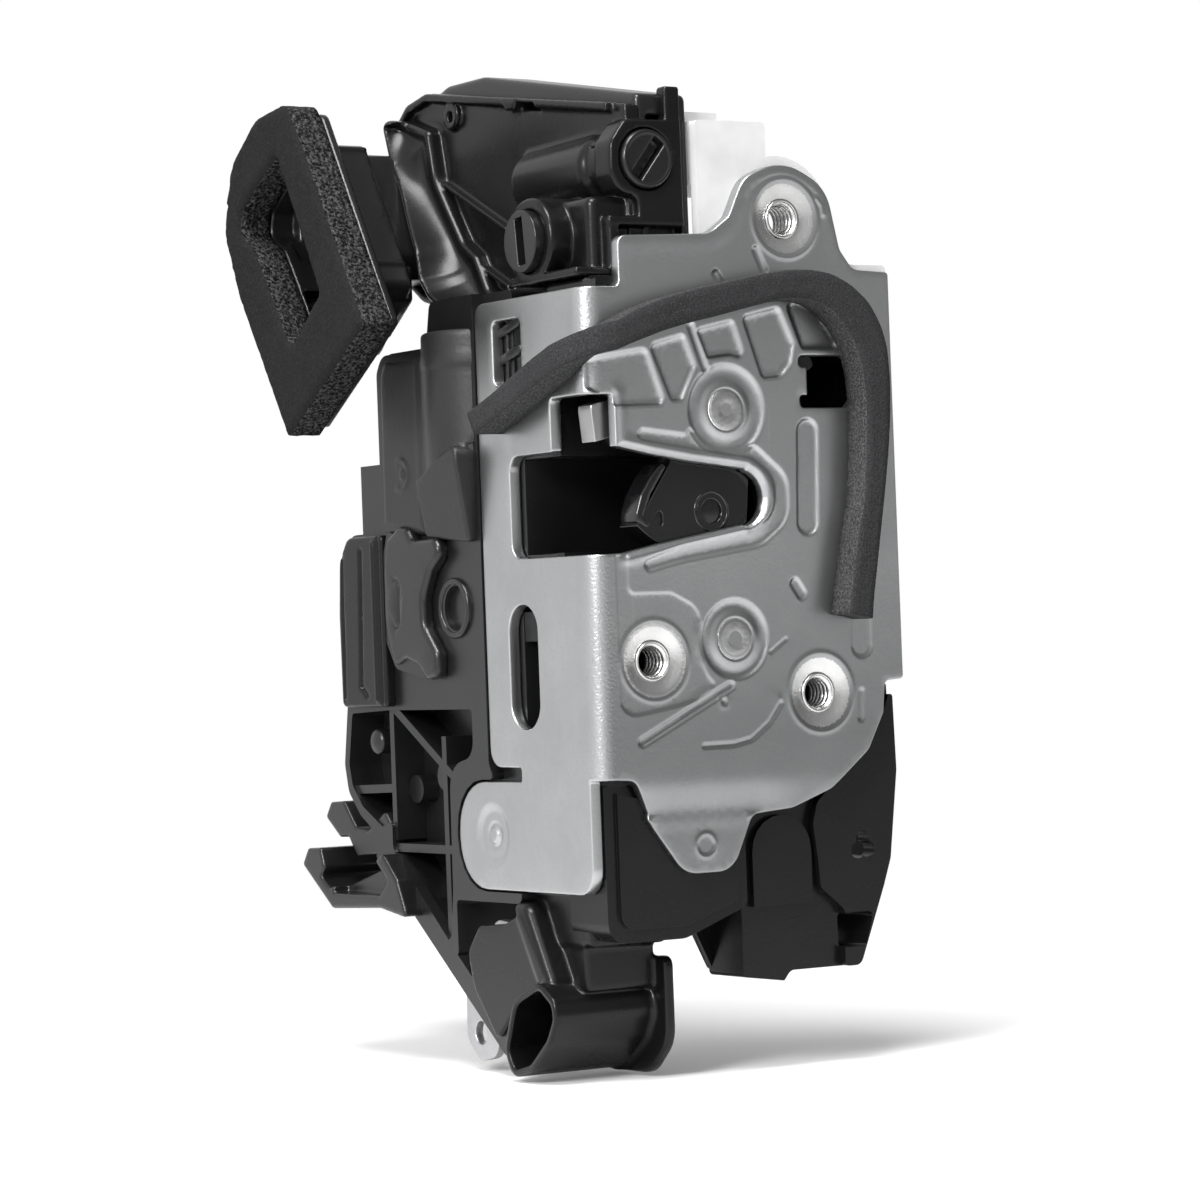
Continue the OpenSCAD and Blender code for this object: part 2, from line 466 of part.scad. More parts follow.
lug_gap = [[10, 60], [flange_depth + 0.3, 60], [flange_depth + 0.3, -52.1, 4], [40, -54.8, 1],
    [lug_y + 0.3, -54.8, 10.6],
    [lug_y + 0.3, -77.7, 10.8], [10, -77.7]];
motor_x = -29;
motor_y = 53;
motor_z0 = 4;
motor_z1 = 31;
worm_r = 3.5;
wheel_r = gear_m * wheel_teeth / 2;
wheel_y = motor_y + worm_r + wheel_r;
wheel_z = -20;
wheel_w = 5;
post_r = 3;
screws = [[37, 38.6], [75.6, 29.4], [96, -8.4], [98.2, -53.6], [37, -74], [64.4, -83.6]];
screw_r = 1.5;
socket = [-36, -21, 81.4, 94];
lever_pivot = [42, -88.5];
pad = [[78.4, -2.6, 1], [69, -4.6, 2], [57.6, -5.8, 2], [61, -10, 3], [67.4, -15, 3], [67.2, -23, 3],
    [60, -30.6, 1.5],
    [63.4, -34, 1.5], [76.6, -31.6, 3], [82.4, -22.5, 4], [82.4, -13, 5]];
lattice = [[[84, -40], [84, -68]], [[62, -46], [62, -88]], [[84, -39.4], [54.2, -57]], [[56, -69.6], [86,
    -69.6]],
    [[84, -57], [101, -57.5]]];
module rib(a, b, w) {
    d = unit([b[0] - a[0], b[1] - a[1]]);
    n = [-d[1], d[0]] * w / 2;
    polygon([a + n, b + n, b - n, a - n]);
}
module actuator_housing() color(black) difference() {
    union() {
        difference() {
            union() {
                side(side_x, side_t - lid_t) polygon(rounded(act_outline, 4));
                // Motor bulge and its cap
                rod_z(motor_x, motor_y, 8, 26.5, bulge_r);
                rod_z(motor_x, motor_y, 34, 3.2, bulge_r + 0.3);
                side(side_x - 1.5, 3) polygon(rounded([[61, 34.6, 1], [78.6, 34.6, 4], [81, 31, 3], [81,
                    -2.6, 0.5], [66, -2.6, 0.5],
                    [62.6, -1, 1], [61, 6, 1]]));
                side(side_x - 1.8, 3) polygon(rounded(pad));
            }
            side(side_x - 6, case_left - side_x + 6) polygon(rounded(lug_gap));
            side(case_left + wall, side_t) polygon(rounded(upper_room));
            side(side_x + wall, side_t) polygon(rounded(deep_room));
            side(side_x + recess_d + wall, side_t) polygon(rounded(lower_room));
            side(side_x - 1, recess_d + 1) polygon(rounded(recess));
            box(lid_x, 0, 0, 130, -130, 60);
            // Cap for the motor above the tray
            rod_z(motor_x, motor_y, motor_z0 - 8, motor_z1 + 0.3 - motor_z0 + 8, motor_r + 0.1);
        }
        for (l = lattice) side(side_x + 0.8, recess_d) rib(l[0], l[1], 1.8);
        for (s = screws) rod_x(s[0], s[1], boss_x(s), lid_x - boss_x(s), 3.2);
        rod_x(wheel_y, wheel_z, side_x + 1, lid_x - side_x - 1, post_r);
        rod_x(wheel_y, wheel_z, side_x + 1, motor_x - wheel_w / 2 - 0.4 - side_x - 1, post_r + 3);
        // Bearing block under the worm, and the motor's saddle
        box(side_x + 1, motor_x + 6, 44.6, 57, -35, -30.5);
        rod_x(90.7, -47.1, side_x + 1.2, recess_d, 2.8);
        translate([side_x + 1.2, 90.7, -47.1]) scale([0.5, 1, 1]) sphere(2.8);
        for (s = [[80, -57.3], [67.8, -54.5]]) rod_x(s[0], s[1], side_x + 4, recess_d - 3, 3);
        rod_x(52.6, -19.5, side_x - 0.5, 1.5, 5.6);
        // Connector shroud, open upwards
        box(socket[0], socket[1], socket[2], socket[3], -3.4, 12);
        // Strut down to the cable duct
        side(side_x, 2.6) polygon(rounded([[91, -66, 1], [91.4, -72, 1], [60.6, -95.2, 2], [39.2, -111.4, 1.2],
            [36.8, -107.2, 1], [57.6, -91.6, 2], [84, -70, 2], [84, -64, 1]]));
        // Foot that meets the back of the latch case
        box(case_left, lid_x - 2, case_end, tunnel_end + 2, -78, -64);
    }
    box(socket[0] + 1.6, socket[1] - 1.6, socket[2] + 1.8, socket[3] - 1.6, -1.4, 13);
    for (k = [0:3]) box(pin_x(k) - 0.4, pin_x(k) + 0.4, 87.2, 88, -10, 2);
    for (s = screws) rod_x(s[0], s[1], lid_x - 10, 12, screw_r);
    rod_x(52.6, -19.5, side_x - 2, 3, 4.7);
    rod_x(72.4, 9.3, side_x - 2.5, 1.5, 3.3);
    rod_z(motor_x, motor_y, -34, 20, 1 + run);
    side(side_x - 3, 1.8) polygon(slot_points([73.6, -9.5], [76, -15], 1.4));
    side(side_x - 3, 1.6) rib([62, 8], [62, -4.6], 0.8);
}
function boss_x(s) = s[0] < flange_depth ? case_left + 0.5 : side_x + (s[1] > -38 ? 1 : recess_d + 1);
function pin_x(k) = socket[0] + 3.4 + 2.9 * k;

module actuator_cover() color(black) difference() {
    union() {
        side(lid_x, lid_t) polygon(rounded(act_outline, 4));
        side(lid_x + lid_t - e, 1) difference() {
            polygon(rounded([[36, 24, 3], [55, 24, 3], [76, 8, 3], [76, -34, 3], [36, -34, 3]]));
            polygon(rounded([[38, 22, 2], [54, 22, 2], [74, 6, 2], [74, -32, 2], [38, -32, 2]]));
        }
        for (z = [-66, -58, -50, -42]) side(lid_x + lid_t - e, 1) rib([40, z], [90, z], 1.4);
    }
    for (s = screws) rod_x(s[0], s[1], lid_x - 1, 8, screw_r + 0.3);
    rod_x(wheel_y, wheel_z, lid_x - 1, lid_t, post_r - 1);
}
module side_cover() color(black) difference() {
    union() {
        side(side_x - 1.8, 1.8) polygon(rounded([[82.8, -3.2, 1.5], [98, -3.2, 4], [101.6, -9, 4],
            [101.6, -38.8, 1.5], [82.8, -38.8, 1.5]]));
        for (z = [-34:5:-9]) side(side_x - 2.5, 1) rib([94.4, z], [100.6, z], 1.2);
    }
    side(side_x - 3, 2.2) rib([92.8, -1], [92.8, -41], 1.2);
    side(side_x - 3, 2) rib([80, -21], [91, -21], 0.8);
}
module cover_screws() color(steel) for (s = screws) difference() {
    union() {
        rod_x(s[0], s[1], lid_x - 8, 8 + lid_t, screw_r);
        rod_x(s[0], s[1], lid_x + lid_t, 1.8, 3);
    }
    rod_x(s[0], s[1], lid_x + lid_t + 0.8, 2, 1.4);
}

// Upper case and its cover
upper_outline = [[5.1, split_z, 0.5], [5.1, 79.4, 1], [81, 92, 5], [99, 86, 7], [103.5, 77, 4], [106, 64,
    9], [98, 51, 8],
    [80, split_z, 4]];
cover_outline = [[5.1, split_z, 0.5], [5.1, 81.4, 2], [66, 93.2, 12], [80, 93.2, 6], [97, 88, 7], [104.5,
    77, 4],
    [106.4, 64, 9], [98, 50.6, 8], [80, split_z, 4]];
cover_x = panel_x + 3.6;
rotor_x = -18.8;
rotor_z = 67.8;
knob_y = 21;
knob_z = 52.9;
follower_y = 95.5;
follower_z = 64;
// Raised block between the funnel and the panel, with a shallow recess
block_h = 7;
block = [[83.8, 77.6, 2], [73, 80.9, 2], [68.4, 71.6, 6], [53.6, 53.4, 3], [52.4, split_z, 1],
    [61, split_z, 1], [66.4, 47.6, 2]];
module upper_case() color(black) difference() {
    union() {
        side(panel_x, 3.6) polygon(rounded(upper_outline));
        side(panel_x - 1.2, 1.3) difference() {
            polygon(rounded(upper_outline));
            polygon(rounded(inset(upper_outline, 1.6)));
        }
        // Raised block with its open pocket
        side(panel_x - block_h, block_h + 0.1) polygon(rounded(block));
        // Front wall round the emergency lock and the knob's ledge
        front(3, 2.2) polygon(rounded([[-28.3, split_z], [-28.3, 52, 0.5], [-27.6, 78, 2], [-22.6, 83,
            2], [-10.2, 83, 2],
            [-10.2, split_z]]));
        front(3, 26) polygon([[-36, split_z], [-36, split_z + 2], [panel_x + 0.5, split_z + 2],
            [panel_x + 0.5, split_z]]);
        translate([rotor_x, 3, rotor_z]) rotate([-90, 0, 0]) cylinder(h = 36, r1 = rotor_r + 1.7,
            r2 = rotor_r - 0.6);
        rod_y(rotor_x, rotor_z, 2.2, 8, rotor_r + 1.7);
        rod_x(knob_y, knob_z, -36, 16, knob_r + 2.2);
        rod_x(follower_y, follower_z, panel_x - 3, 5, 9);
        for (s = [[77, 85.6], [14, 76], [62.2, 83.3]]) rod_x(s[0], s[1], panel_x - 3.4, 4, 2.9);
    }
    side(panel_x - block_h - 1, 4) polygon(rounded([[79.4, 75.4, 2], [71.8, 77.2, 3], [57.4, 55.2, 3],
        [58, 49.8, 2], [64.2, 50.8, 3]]));
    side(panel_x + 1.8, 6) polygon(rounded(inset(upper_outline, 2)));
    rod_y(rotor_x, rotor_z, 0, 16, rotor_r + run);
    rod_y(rotor_x, rotor_z, 0, 50, 3.5);
    rod_x(knob_y, knob_z, -37, 12, knob_r + run);
    rod_x(knob_y, knob_z, -37, 20, 4);
    rod_x(follower_y, follower_z, panel_x - 6, 12, 5 + run);
    for (s = [[77, 85.6], [14, 76]]) rod_x(s[0], s[1], panel_x - 5, 10, 1.5);
}
module upper_cover() color(black) difference() {
    side(cover_x, cover_t) polygon(rounded(cover_outline));
    side(cover_x - 1, cover_t - 1) polygon(rounded(inset(cover_outline, 2)));
    box(cover_x - 1, cover_x + cover_t - 2, 0, 8, split_z + 2, 79.2);
}
module emergency_lock_rotor() color([0.13, 0.13, 0.14]) difference() {
    union() {
        rod_y(rotor_x, rotor_z, 2.4, 13, rotor_r);
        rod_y(rotor_x, rotor_z, 15, 26, 3.4);
    }
    front(1, 3.4) translate([rotor_x, rotor_z]) rotate(38) square([2.8, 9.4], center = true);
}
module setting_knob() color([0.13, 0.13, 0.14]) difference() {
    union() {
        rod_x(knob_y, knob_z, -38, 12.9, knob_r);
        rod_x(knob_y, knob_z, -26, 5, 3.9);
    }
    side(-39, 3.6) translate([knob_y, knob_z]) rotate(-6) square([2.8, 9.6], center = true);
}

// Key funnel, its turning follower and the foam ring
foam_back = foam_x + foam_t;
foam_outline = [[83.5, 88.2, 4], [53.3, 39.1, 1.2], [87.8, 18, 1.2], [108, 49.3, 20], [114.2, 64, 7],
    [110, 78, 8], [98, 86.5, 10]];
foam_hole = [[88.6, 77.4, 1], [71.4, 47.2, 1.5], [85.3, 36.4, 3], [100.8, 59.3, 2], [107, 63, 2.5], [106,
    67.5, 2.5], [96, 73.8, 4]];
tube = [[86.5, 81, 3], [67.6, 48.4, 2], [85, 33.2, 4], [103.4, 57, 3], [110, 61.4, 3], [109.4, 70, 4],
    [97.6, 77.6, 5]];
module key_gasket() color([0.14, 0.14, 0.15]) side(foam_x, foam_t) difference() {
    polygon(rounded(foam_outline));
    polygon(rounded(foam_hole));
}
module key_funnel() color(black) difference() {
    union() {
        side(foam_back, 2) polygon(rounded(inset(foam_outline, 1.2)));
        side(foam_back, panel_x - 1.2 - foam_back) polygon(rounded(tube));
        box(-45, panel_x - 1.2, 70, 80, 45.4, 53);
    }
    side(foam_back - 1, -43.5 - foam_back) polygon(rounded(foam_hole));
    // Round well of the follower and the key slot's guide below it
    rod_x(follower_y, follower_z, -46, 40, 8.3);
    side(-45, 12) polygon(rounded([[90, 60, 1], [78, 47, 1], [84, 42, 1], [96, 58, 1]]));
    for (k = [-1, 1]) side(-45, 3.2) rib([87 + 3.4 * k, 57 - 2 * k], [80 + 2 * k, 44.5 - k], 1.2);
    rod_x(follower_y, follower_z, panel_x - 3.2, 10, 9.1);
    rod_x(74, 49, -46, 8, 1.6);
}
module key_follower() color([0.12, 0.12, 0.13]) difference() {
    union() {
        rod_x(follower_y, follower_z, -41.6, 16, 8);
        rod_x(follower_y, follower_z, -26, 11, 5);
    }
    side(-42, 8) translate([follower_y, follower_z]) rotate(-30) square([2.6, 10], center = true);
    for (k = [-1, 1]) rod_x(follower_y + 5 * k, follower_z + 2.6 * k, -42, 2, 1);
}

// Lock drive
module lock_motor() color(steel) {
    difference() {
        rod_z(motor_x, motor_y, motor_z0, motor_z1 - motor_z0, motor_r);
        box(motor_x - 15, motor_x + 15, motor_y - 15, motor_y - motor_r + 0.8, 0, 40);
    }
    rod_z(motor_x, motor_y, motor_z0 - 1.6, 2, 3);
    rod_z(motor_x, motor_y, -33, 39, 1);
}
worm_pitch = 3.1416 * gear_m;
worm_z0 = wheel_z - 2.25 * worm_pitch;
worm_len = 4.5 * worm_pitch;
module motor_worm() color([0.85, 0.82, 0.7]) difference() {
    union() {
        rod_z(motor_x, motor_y, worm_z0, worm_len + 3, worm_r - 1.25 * gear_m);
        translate([motor_x, motor_y, worm_z0]) linear_extrude(worm_len,
            twist = -360 * worm_len / worm_pitch, slices = 60)
            translate([0.85 * gear_m, 0]) circle(worm_r - 0.05 * gear_m, $fn = 12);
    }
    rod_z(motor_x, motor_y, -40, 60, 1.02);
}
module gear(n, m, tip, root) {
    pitch = m * n / 2;
    circle(pitch - root * m, $fn = 2 * n);
    for (k = [0:n - 1]) rotate(360 * k / n) polygon([[pitch - root * m - 0.2, -0.62 * m], [pitch,
        -0.34 * m],
        [pitch + tip * m, -0.14 * m], [pitch + tip * m, 0.14 * m], [pitch, 0.34 * m],
        [pitch - root * m - 0.2, 0.62 * m]]);
}
pinion_r = gear_m * pinion_teeth / 2;
module worm_wheel() color([0.88, 0.87, 0.83]) difference() {
    union() {
        side(motor_x - wheel_w / 2, wheel_w) translate([wheel_y,
            wheel_z]) rotate(180 / wheel_teeth) gear(wheel_teeth, gear_m, 0.3, 1.3);
        side(motor_x + wheel_w / 2 - e, pinion_w) translate([wheel_y, wheel_z]) gear(pinion_teeth,
            gear_m, 0.7, 1.1);
    }
    rod_x(wheel_y, wheel_z, -60, 60, post_r + run);
    for (k = [0:5]) rod_x(wheel_y + 9 * cos(60 * k), wheel_z + 9 * sin(60 * k), motor_x - 4,
        wheel_w / 2 + 2, 2.6);
}
rack_y = wheel_y + pinion_r;
rack_top = -5.4;
slide_x = motor_x + wheel_w / 2;
module lock_slide() color([0.9, 0.9, 0.86]) {
    side(slide_x + 0.2, pinion_w) {
        polygon(rounded([[rack_y + 1.2 * gear_m, rack_top, 0.5], [rack_y + 6, rack_top, 1], [rack_y + 6,
            -56, 1],
            [rack_y + 1.2 * gear_m, -56, 1]]));
        for (k = [-3:4]) translate([rack_y, wheel_z + worm_pitch * (k + 0.5)]) polygon([[1.4 * gear_m,
            -0.95 * gear_m],
            [0, -0.5 * gear_m], [-0.6 * gear_m, -0.3 * gear_m], [-0.6 * gear_m, 0.3 * gear_m], [0,
            0.5 * gear_m],
            [1.4 * gear_m, 0.95 * gear_m]]);
    }
    rod_x(rack_y + 3.6, -52, slide_x + pinion_w, 2.2, 2);
}
module latch_switch() color([0.2, 0.2, 0.22]) {
    box(slide_x - 6, slide_x + 1, 86.6, 93, -34, -14);
    box(slide_x - 8.5, slide_x - 6, 88, 92, -18, -16);
    box(slide_x - 5, slide_x - 1, 85.4, 86.7, -25, -23);
}
module lead_frame() color([0.78, 0.62, 0.35]) {
    side(side_x + 2, 0.8) {
        rib([78, -14], [97, -14], 1.6);
        rib([78, -13.2], [78, 24], 1.6);
        rib([78.8, 24], [66, 24], 1.6);
        rib([96.4, -13.2], [96.4, -36], 1.6);
        rib([97, -36], [74, -36], 1.6);
    }
}
module connector_pins() color([0.85, 0.7, 0.4]) for (k = [0:3]) {
    box(pin_x(k) - 0.4, pin_x(k) + 0.4, 87.2, 88, -6.6, 8);
}

// Cable duct with its shield, below the latch case
duct_x = -40;
duct_end = -15;
duct_outer = [[22.6, -95.2, 4], [13.6, -99, 4], [13.4, -106.6, 4], [24.6, -113.6, 4], [35.6, -114.6, 4],
    [36.6, -107, 4], [30, -99, 4]];
shield = [[22.7, -95.2, 1], [31.4, -81.8, 1.5], [39.5, -84.3, 2], [46, -84.6, 2], [51.6, -88.6, 2],
    [52.6, -92.6, 1], [52, -95.4, 0.5],
    [36.2, -107.6, 1], [30.7, -99.1, 2]];
module cable_duct() color(black) difference() {
    union() {
        side(duct_x, duct_end - duct_x) polygon(rounded(duct_outer));
        side(side_x, 2.4) polygon(rounded(shield));
        side(duct_end - 2, 2) polygon(rounded([[9.6, -92, 2], [9.6, -114.8, 2], [34, -114.8, 2], [34,
            -92, 2]]));
        // Rounded ridge, and the neck that meets the latch case
        rod_z(side_x + 0.4, 38.6, -101, 17.6, 1.6);
        box(case_left, -18, 12, 30, -97, case_bottom);
    }
    side(duct_x - 1, duct_end - duct_x - 3) polygon(rounded(inset(duct_outer, 1.7)));
    rod_x(24, -104.6, duct_x - 1, 40, 3.4);
    rod_x(lever_pivot[0], lever_pivot[1], side_x + 0.7, 6, 2.55);
    box(case_left + wall, -20, 14, 28, -95, case_bottom + 1);
}
lever_x0 = side_x + 2.4 + 0.6;
module inside_release_lever() color([0.55, 0.55, 0.57]) difference() {
    side(lever_x0, 2) polygon(rounded([[lever_pivot[0] - 5.5, lever_pivot[1] + 4, 4],
        [lever_pivot[0] + 5, lever_pivot[1] + 5, 4],
        [54, -92, 6], [60.4, -98.6, 3], [60.6, -109, 4], [55.6, -113.4, 4], [48, -112, 4], [47.4, -104, 3],
        [lever_pivot[0] - 5, lever_pivot[1] - 5, 3]]));
    rod_x(lever_pivot[0], lever_pivot[1], -60, 60, 2.5 + run);
    rod_x(54.8, -107.4, -60, 60, 2.4);
}
module inside_lever_pin() color(steel) {
    rod_x(lever_pivot[0], lever_pivot[1], side_x + 0.8, lever_x0 + 1.6 - side_x, 2.5);
    rod_x(lever_pivot[0], lever_pivot[1], lever_x0 + 2.4, 1.2, 4);
}
module cable_clip() color(grey) difference() {
    union() {
        side(side_x + 3, 8) polygon(concat(arc(106.4, -72.4, 9.6, 60, 330, 16), arc(106.4, -72.4, 6.6,
            330, 60, 14)));
        side(side_x + 3, 8) polygon(rounded([[98.1, -63.4, 0.3], [90, -67.9, 0.3], [91, -71, 1], [94,
            -73, 1], [97.8, -72.4, 1],
            [101.6, -68, 1], [101.4, -63.8, 0.8]]));
        for (a = [60, 330]) rod_x(106.4 + 8.1 * cos(a), -72.4 + 8.1 * sin(a), side_x + 3, 8, 2);
    }
    rod_x(95, -67.4, -60, 60, 1.6);
}

// Lower guard to the right of the case, and the outside handle's lever behind it
guard_y = 4;
guard_back = case_end;
wing = [[plate_right - 0.2, -38.2, 0.6], [plate_right + 0.2, -56, 10], [35.2, -74, 4], [33.3, -79.4, 2],
    [26.8, -95.4, 2],
    [22.8, -95.4, 1], [23.4, -84, 3], [17.4, -79, 2], [17.1, -74, 2], [16.1, -65.9, 3], [17.3, -61.7, 3],
    [21.4, -58.2, 3],
    [30, -51.1, 4], [34.4, -44.7, 3]];
guard_outer = [[plate_right - 0.2, -38.2, 0.6], [plate_right + 0.2, -56, 10], [35.2, -74, 4], [33.3,
    -79.4, 2], [26.8, -95.4, 2],
    [10.6, -95.4, 2], [9, -97.4, 0.6], [-0.9, -96, 1], [-0.7, -62.2], [9.4, -61.7, 3], [19, -58.2, 5],
    [27.4, -51.6, 5], [31.4, -44.3, 3], [31.9, -38.2]];
clip_pivot = [6.5, -71];
module lower_guard() color(black) difference() {
    union() {
        front(guard_y, 2.2) polygon(rounded(wing));
        front(guard_y + 2, guard_back - guard_y - 1) polygon(rounded(guard_outer));
        front(guard_back, 2) polygon(rounded([[34.6, -56, 4], [33, -79, 3], [26.4, -95, 2], [-0.6,
            -95, 1], [-6, -84, 2], [-6, -62, 2],
            [12, -62, 2], [20, -54, 3], [28, -48, 3], [33, -48, 2]]));
        // Domed front face of the lower box
        front(guard_y + 0.6, 2) polygon(concat(arc(8.6, -71, 7.2, 180, 0, 10), [[15.8, -82], [1.4, -82]]));
        rod_y(clip_pivot[0], clip_pivot[1], guard_back, 2.6, 5);
    }
    front(guard_y + 2 + wall, 30) difference() {
        polygon(rounded(inset(guard_outer, wall)));

        translate(clip_pivot) circle(5);
        polygon([[-1, -60], [18, -60], [36, -40], [40, -46], [15, -64], [-1, -64]]);
    }
    // Window that shows the handle's lever, and the three-lobed hole
    front(0, 40) polygon(rounded([[22.6, -84.6, 1], [30.4, -84.6, 1], [28.2, -91.6, 1], [22.6, -91.6, 1]]));
    for (a = [90, 210, 330]) rod_y(28.3 + 1.5 * cos(a), -71.3 + 1.5 * sin(a), 0, 8, 1.7);
    rod_y(clip_pivot[0], clip_pivot[1], guard_back - 4, 10, 3);
}
handle_y = guard_back + 3.1;
module outside_handle_lever() color([0.6, 0.6, 0.62]) difference() {
    front(handle_y, 2.2) polygon(rounded([[clip_pivot[0] - 5, clip_pivot[1] - 4, 4], [clip_pivot[0] - 5,
        clip_pivot[1] + 5.4, 4],
        [clip_pivot[0] + 5, clip_pivot[1] + 5, 4], [22, -80, 4], [31.6, -83.6, 2], [29.6, -92.6, 2], [22,
        -92.6, 2], [14, -84, 4]]));
    rod_y(clip_pivot[0], clip_pivot[1], 0, 60, 3 + run);
    rod_y(26, -88.4, 0, 60, 1.6);
}
module outside_lever_pin() color(steel) {
    rod_y(clip_pivot[0], clip_pivot[1], guard_back - 3, handle_y + 2.6 - guard_back + 3, 3);
    rod_y(clip_pivot[0], clip_pivot[1], handle_y + 2.6, 1.4, 4.8);
}

latch_plate();
latch_case();
striker_pocket();
back_plate();
fork_bolt();
fork_bolt_overmould();
fork_bolt_pin();
fork_bolt_spring();
fork_stop_buffer();
pawl();
pawl_pin();
pawl_spring();
release_lever();
release_lever_pin();
latch_case_cap();
seal_strip();
actuator_housing();
actuator_cover();
side_cover();
upper_case();
upper_cover();
emergency_lock_rotor();
setting_knob();
key_funnel();
key_follower();
key_gasket();
lock_motor();
motor_worm();
worm_wheel();
lock_slide();
lead_frame();
connector_pins();
latch_switch();
cable_duct();
cable_clip();
inside_release_lever();
inside_lever_pin();
outside_handle_lever();
outside_lever_pin();
lower_guard();
cover_screws();
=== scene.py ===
import math

import bmesh
import bpy
import numpy as np
from mathutils import Matrix, Vector
from mathutils.geometry import delaunay_2d_cdt

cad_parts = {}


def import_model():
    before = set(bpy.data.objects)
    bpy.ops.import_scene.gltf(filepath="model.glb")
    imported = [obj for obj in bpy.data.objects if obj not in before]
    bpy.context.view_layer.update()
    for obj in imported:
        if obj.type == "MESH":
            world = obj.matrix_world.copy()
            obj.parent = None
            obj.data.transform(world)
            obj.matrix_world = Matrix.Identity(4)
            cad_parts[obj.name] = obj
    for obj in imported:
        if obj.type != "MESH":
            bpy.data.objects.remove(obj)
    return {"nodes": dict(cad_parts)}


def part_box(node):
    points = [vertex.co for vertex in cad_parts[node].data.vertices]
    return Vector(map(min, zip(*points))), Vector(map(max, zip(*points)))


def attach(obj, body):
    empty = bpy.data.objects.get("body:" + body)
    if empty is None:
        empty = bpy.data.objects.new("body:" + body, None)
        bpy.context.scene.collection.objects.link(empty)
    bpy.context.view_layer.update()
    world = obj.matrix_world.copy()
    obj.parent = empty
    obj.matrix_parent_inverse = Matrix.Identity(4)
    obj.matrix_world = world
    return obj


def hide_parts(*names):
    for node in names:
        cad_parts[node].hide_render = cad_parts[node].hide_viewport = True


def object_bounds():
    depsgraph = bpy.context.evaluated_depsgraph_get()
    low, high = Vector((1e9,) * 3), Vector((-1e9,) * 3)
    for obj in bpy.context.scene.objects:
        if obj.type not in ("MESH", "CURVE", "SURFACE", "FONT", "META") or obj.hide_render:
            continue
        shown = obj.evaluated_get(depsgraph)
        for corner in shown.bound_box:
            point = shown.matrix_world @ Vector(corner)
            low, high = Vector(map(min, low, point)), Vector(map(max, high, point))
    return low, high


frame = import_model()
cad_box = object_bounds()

MM = 0.001
NODES = frame["nodes"]
scene = bpy.context.scene


# ---------------------------------------------------------------- materials
class Nodes:
    """A node tree with short calls. An input takes a number, a colour, a node or (node, output)."""

    def __init__(self, tree):
        self.t = tree
        tree.nodes.clear()

    def put(self, n, inputs):
        for k, v in inputs.items():
            node, out = v if isinstance(v, tuple) and hasattr(v[0], "outputs") else (v, None)
            if hasattr(node, "outputs"):
                if out is None:
                    out = 2 if node.bl_idname == "ShaderNodeMix" else 0
                self.t.links.new(node.outputs[out], n.inputs[k])
            elif n.inputs[k].type == "RGBA":
                n.inputs[k].default_value = (*v, 1) if hasattr(v, "__len__") else (v, v, v, 1)
            else:
                n.inputs[k].default_value = v

    def add(self, kind, inputs=None, **values):
        n = self.t.nodes.new("ShaderNode" + kind)
        for k, v in values.items():
            setattr(n, k, v)
        self.put(n, inputs or {})
        return n

    def ramp(self, source, stops):
        n = self.add("ValToRGB", {0: source})
        e = n.color_ramp.elements
        while len(e) < len(stops):
            e.new(0.5)
        for k, (at, c) in enumerate(stops):
            e[k].position = at
            e[k].color = (*c, 1) if hasattr(c, "__len__") else (c, c, c, 1)
        return n

    def range(self, source, a, b, c, d, **values):
        """The source, with a to b mapped onto c to d."""
        return self.add("MapRange", {"Value": source, "From Min": a, "From Max": b, "To Min": c, "To Max": d}, **values)

    def math(self, op, a, b):
        return self.add("Math", {0: a, 1: b}, operation=op)

    def mix(self, fac, a, b):
        return self.add("Mix", {0: fac, 6: a, 7: b}, data_type="RGBA")


class Surface(Nodes):
    """A material's tree, with its shader p and textures in object coordinates."""

    def __init__(self, name):
        self.m = bpy.data.materials.new(name)
        self.m.use_nodes = True
        super().__init__(self.m.node_tree)
        self.p = self.add("BsdfPrincipled")
        self.out = self.add("OutputMaterial", {"Surface": self.p})
        self.co = (self.add("TexCoord"), "Object")

    def mapped(self, scale, turn):
        return self.add("Mapping", {"Vector": self.co, "Scale": scale, "Rotation": turn})

    def noise(self, scale, detail, rough, source=None):
        return self.add("TexNoise", {"Vector": source or self.co, "Scale": scale, "Detail": detail, "Roughness": rough})

    def voronoi(self, scale):
        return self.add("TexVoronoi", {"Vector": self.co, "Scale": scale}), "Distance"

    def bump(self, height, strength, distance, below=None):
        n = self.add("Bump", {"Height": height, "Strength": strength, "Distance": distance})
        if below is not None:
            self.put(n, {"Normal": below})
        self.put(self.p, {"Normal": n})
        return n

    def attribute(self, name):
        return self.add("Attribute", attribute_name=name), "Fac"


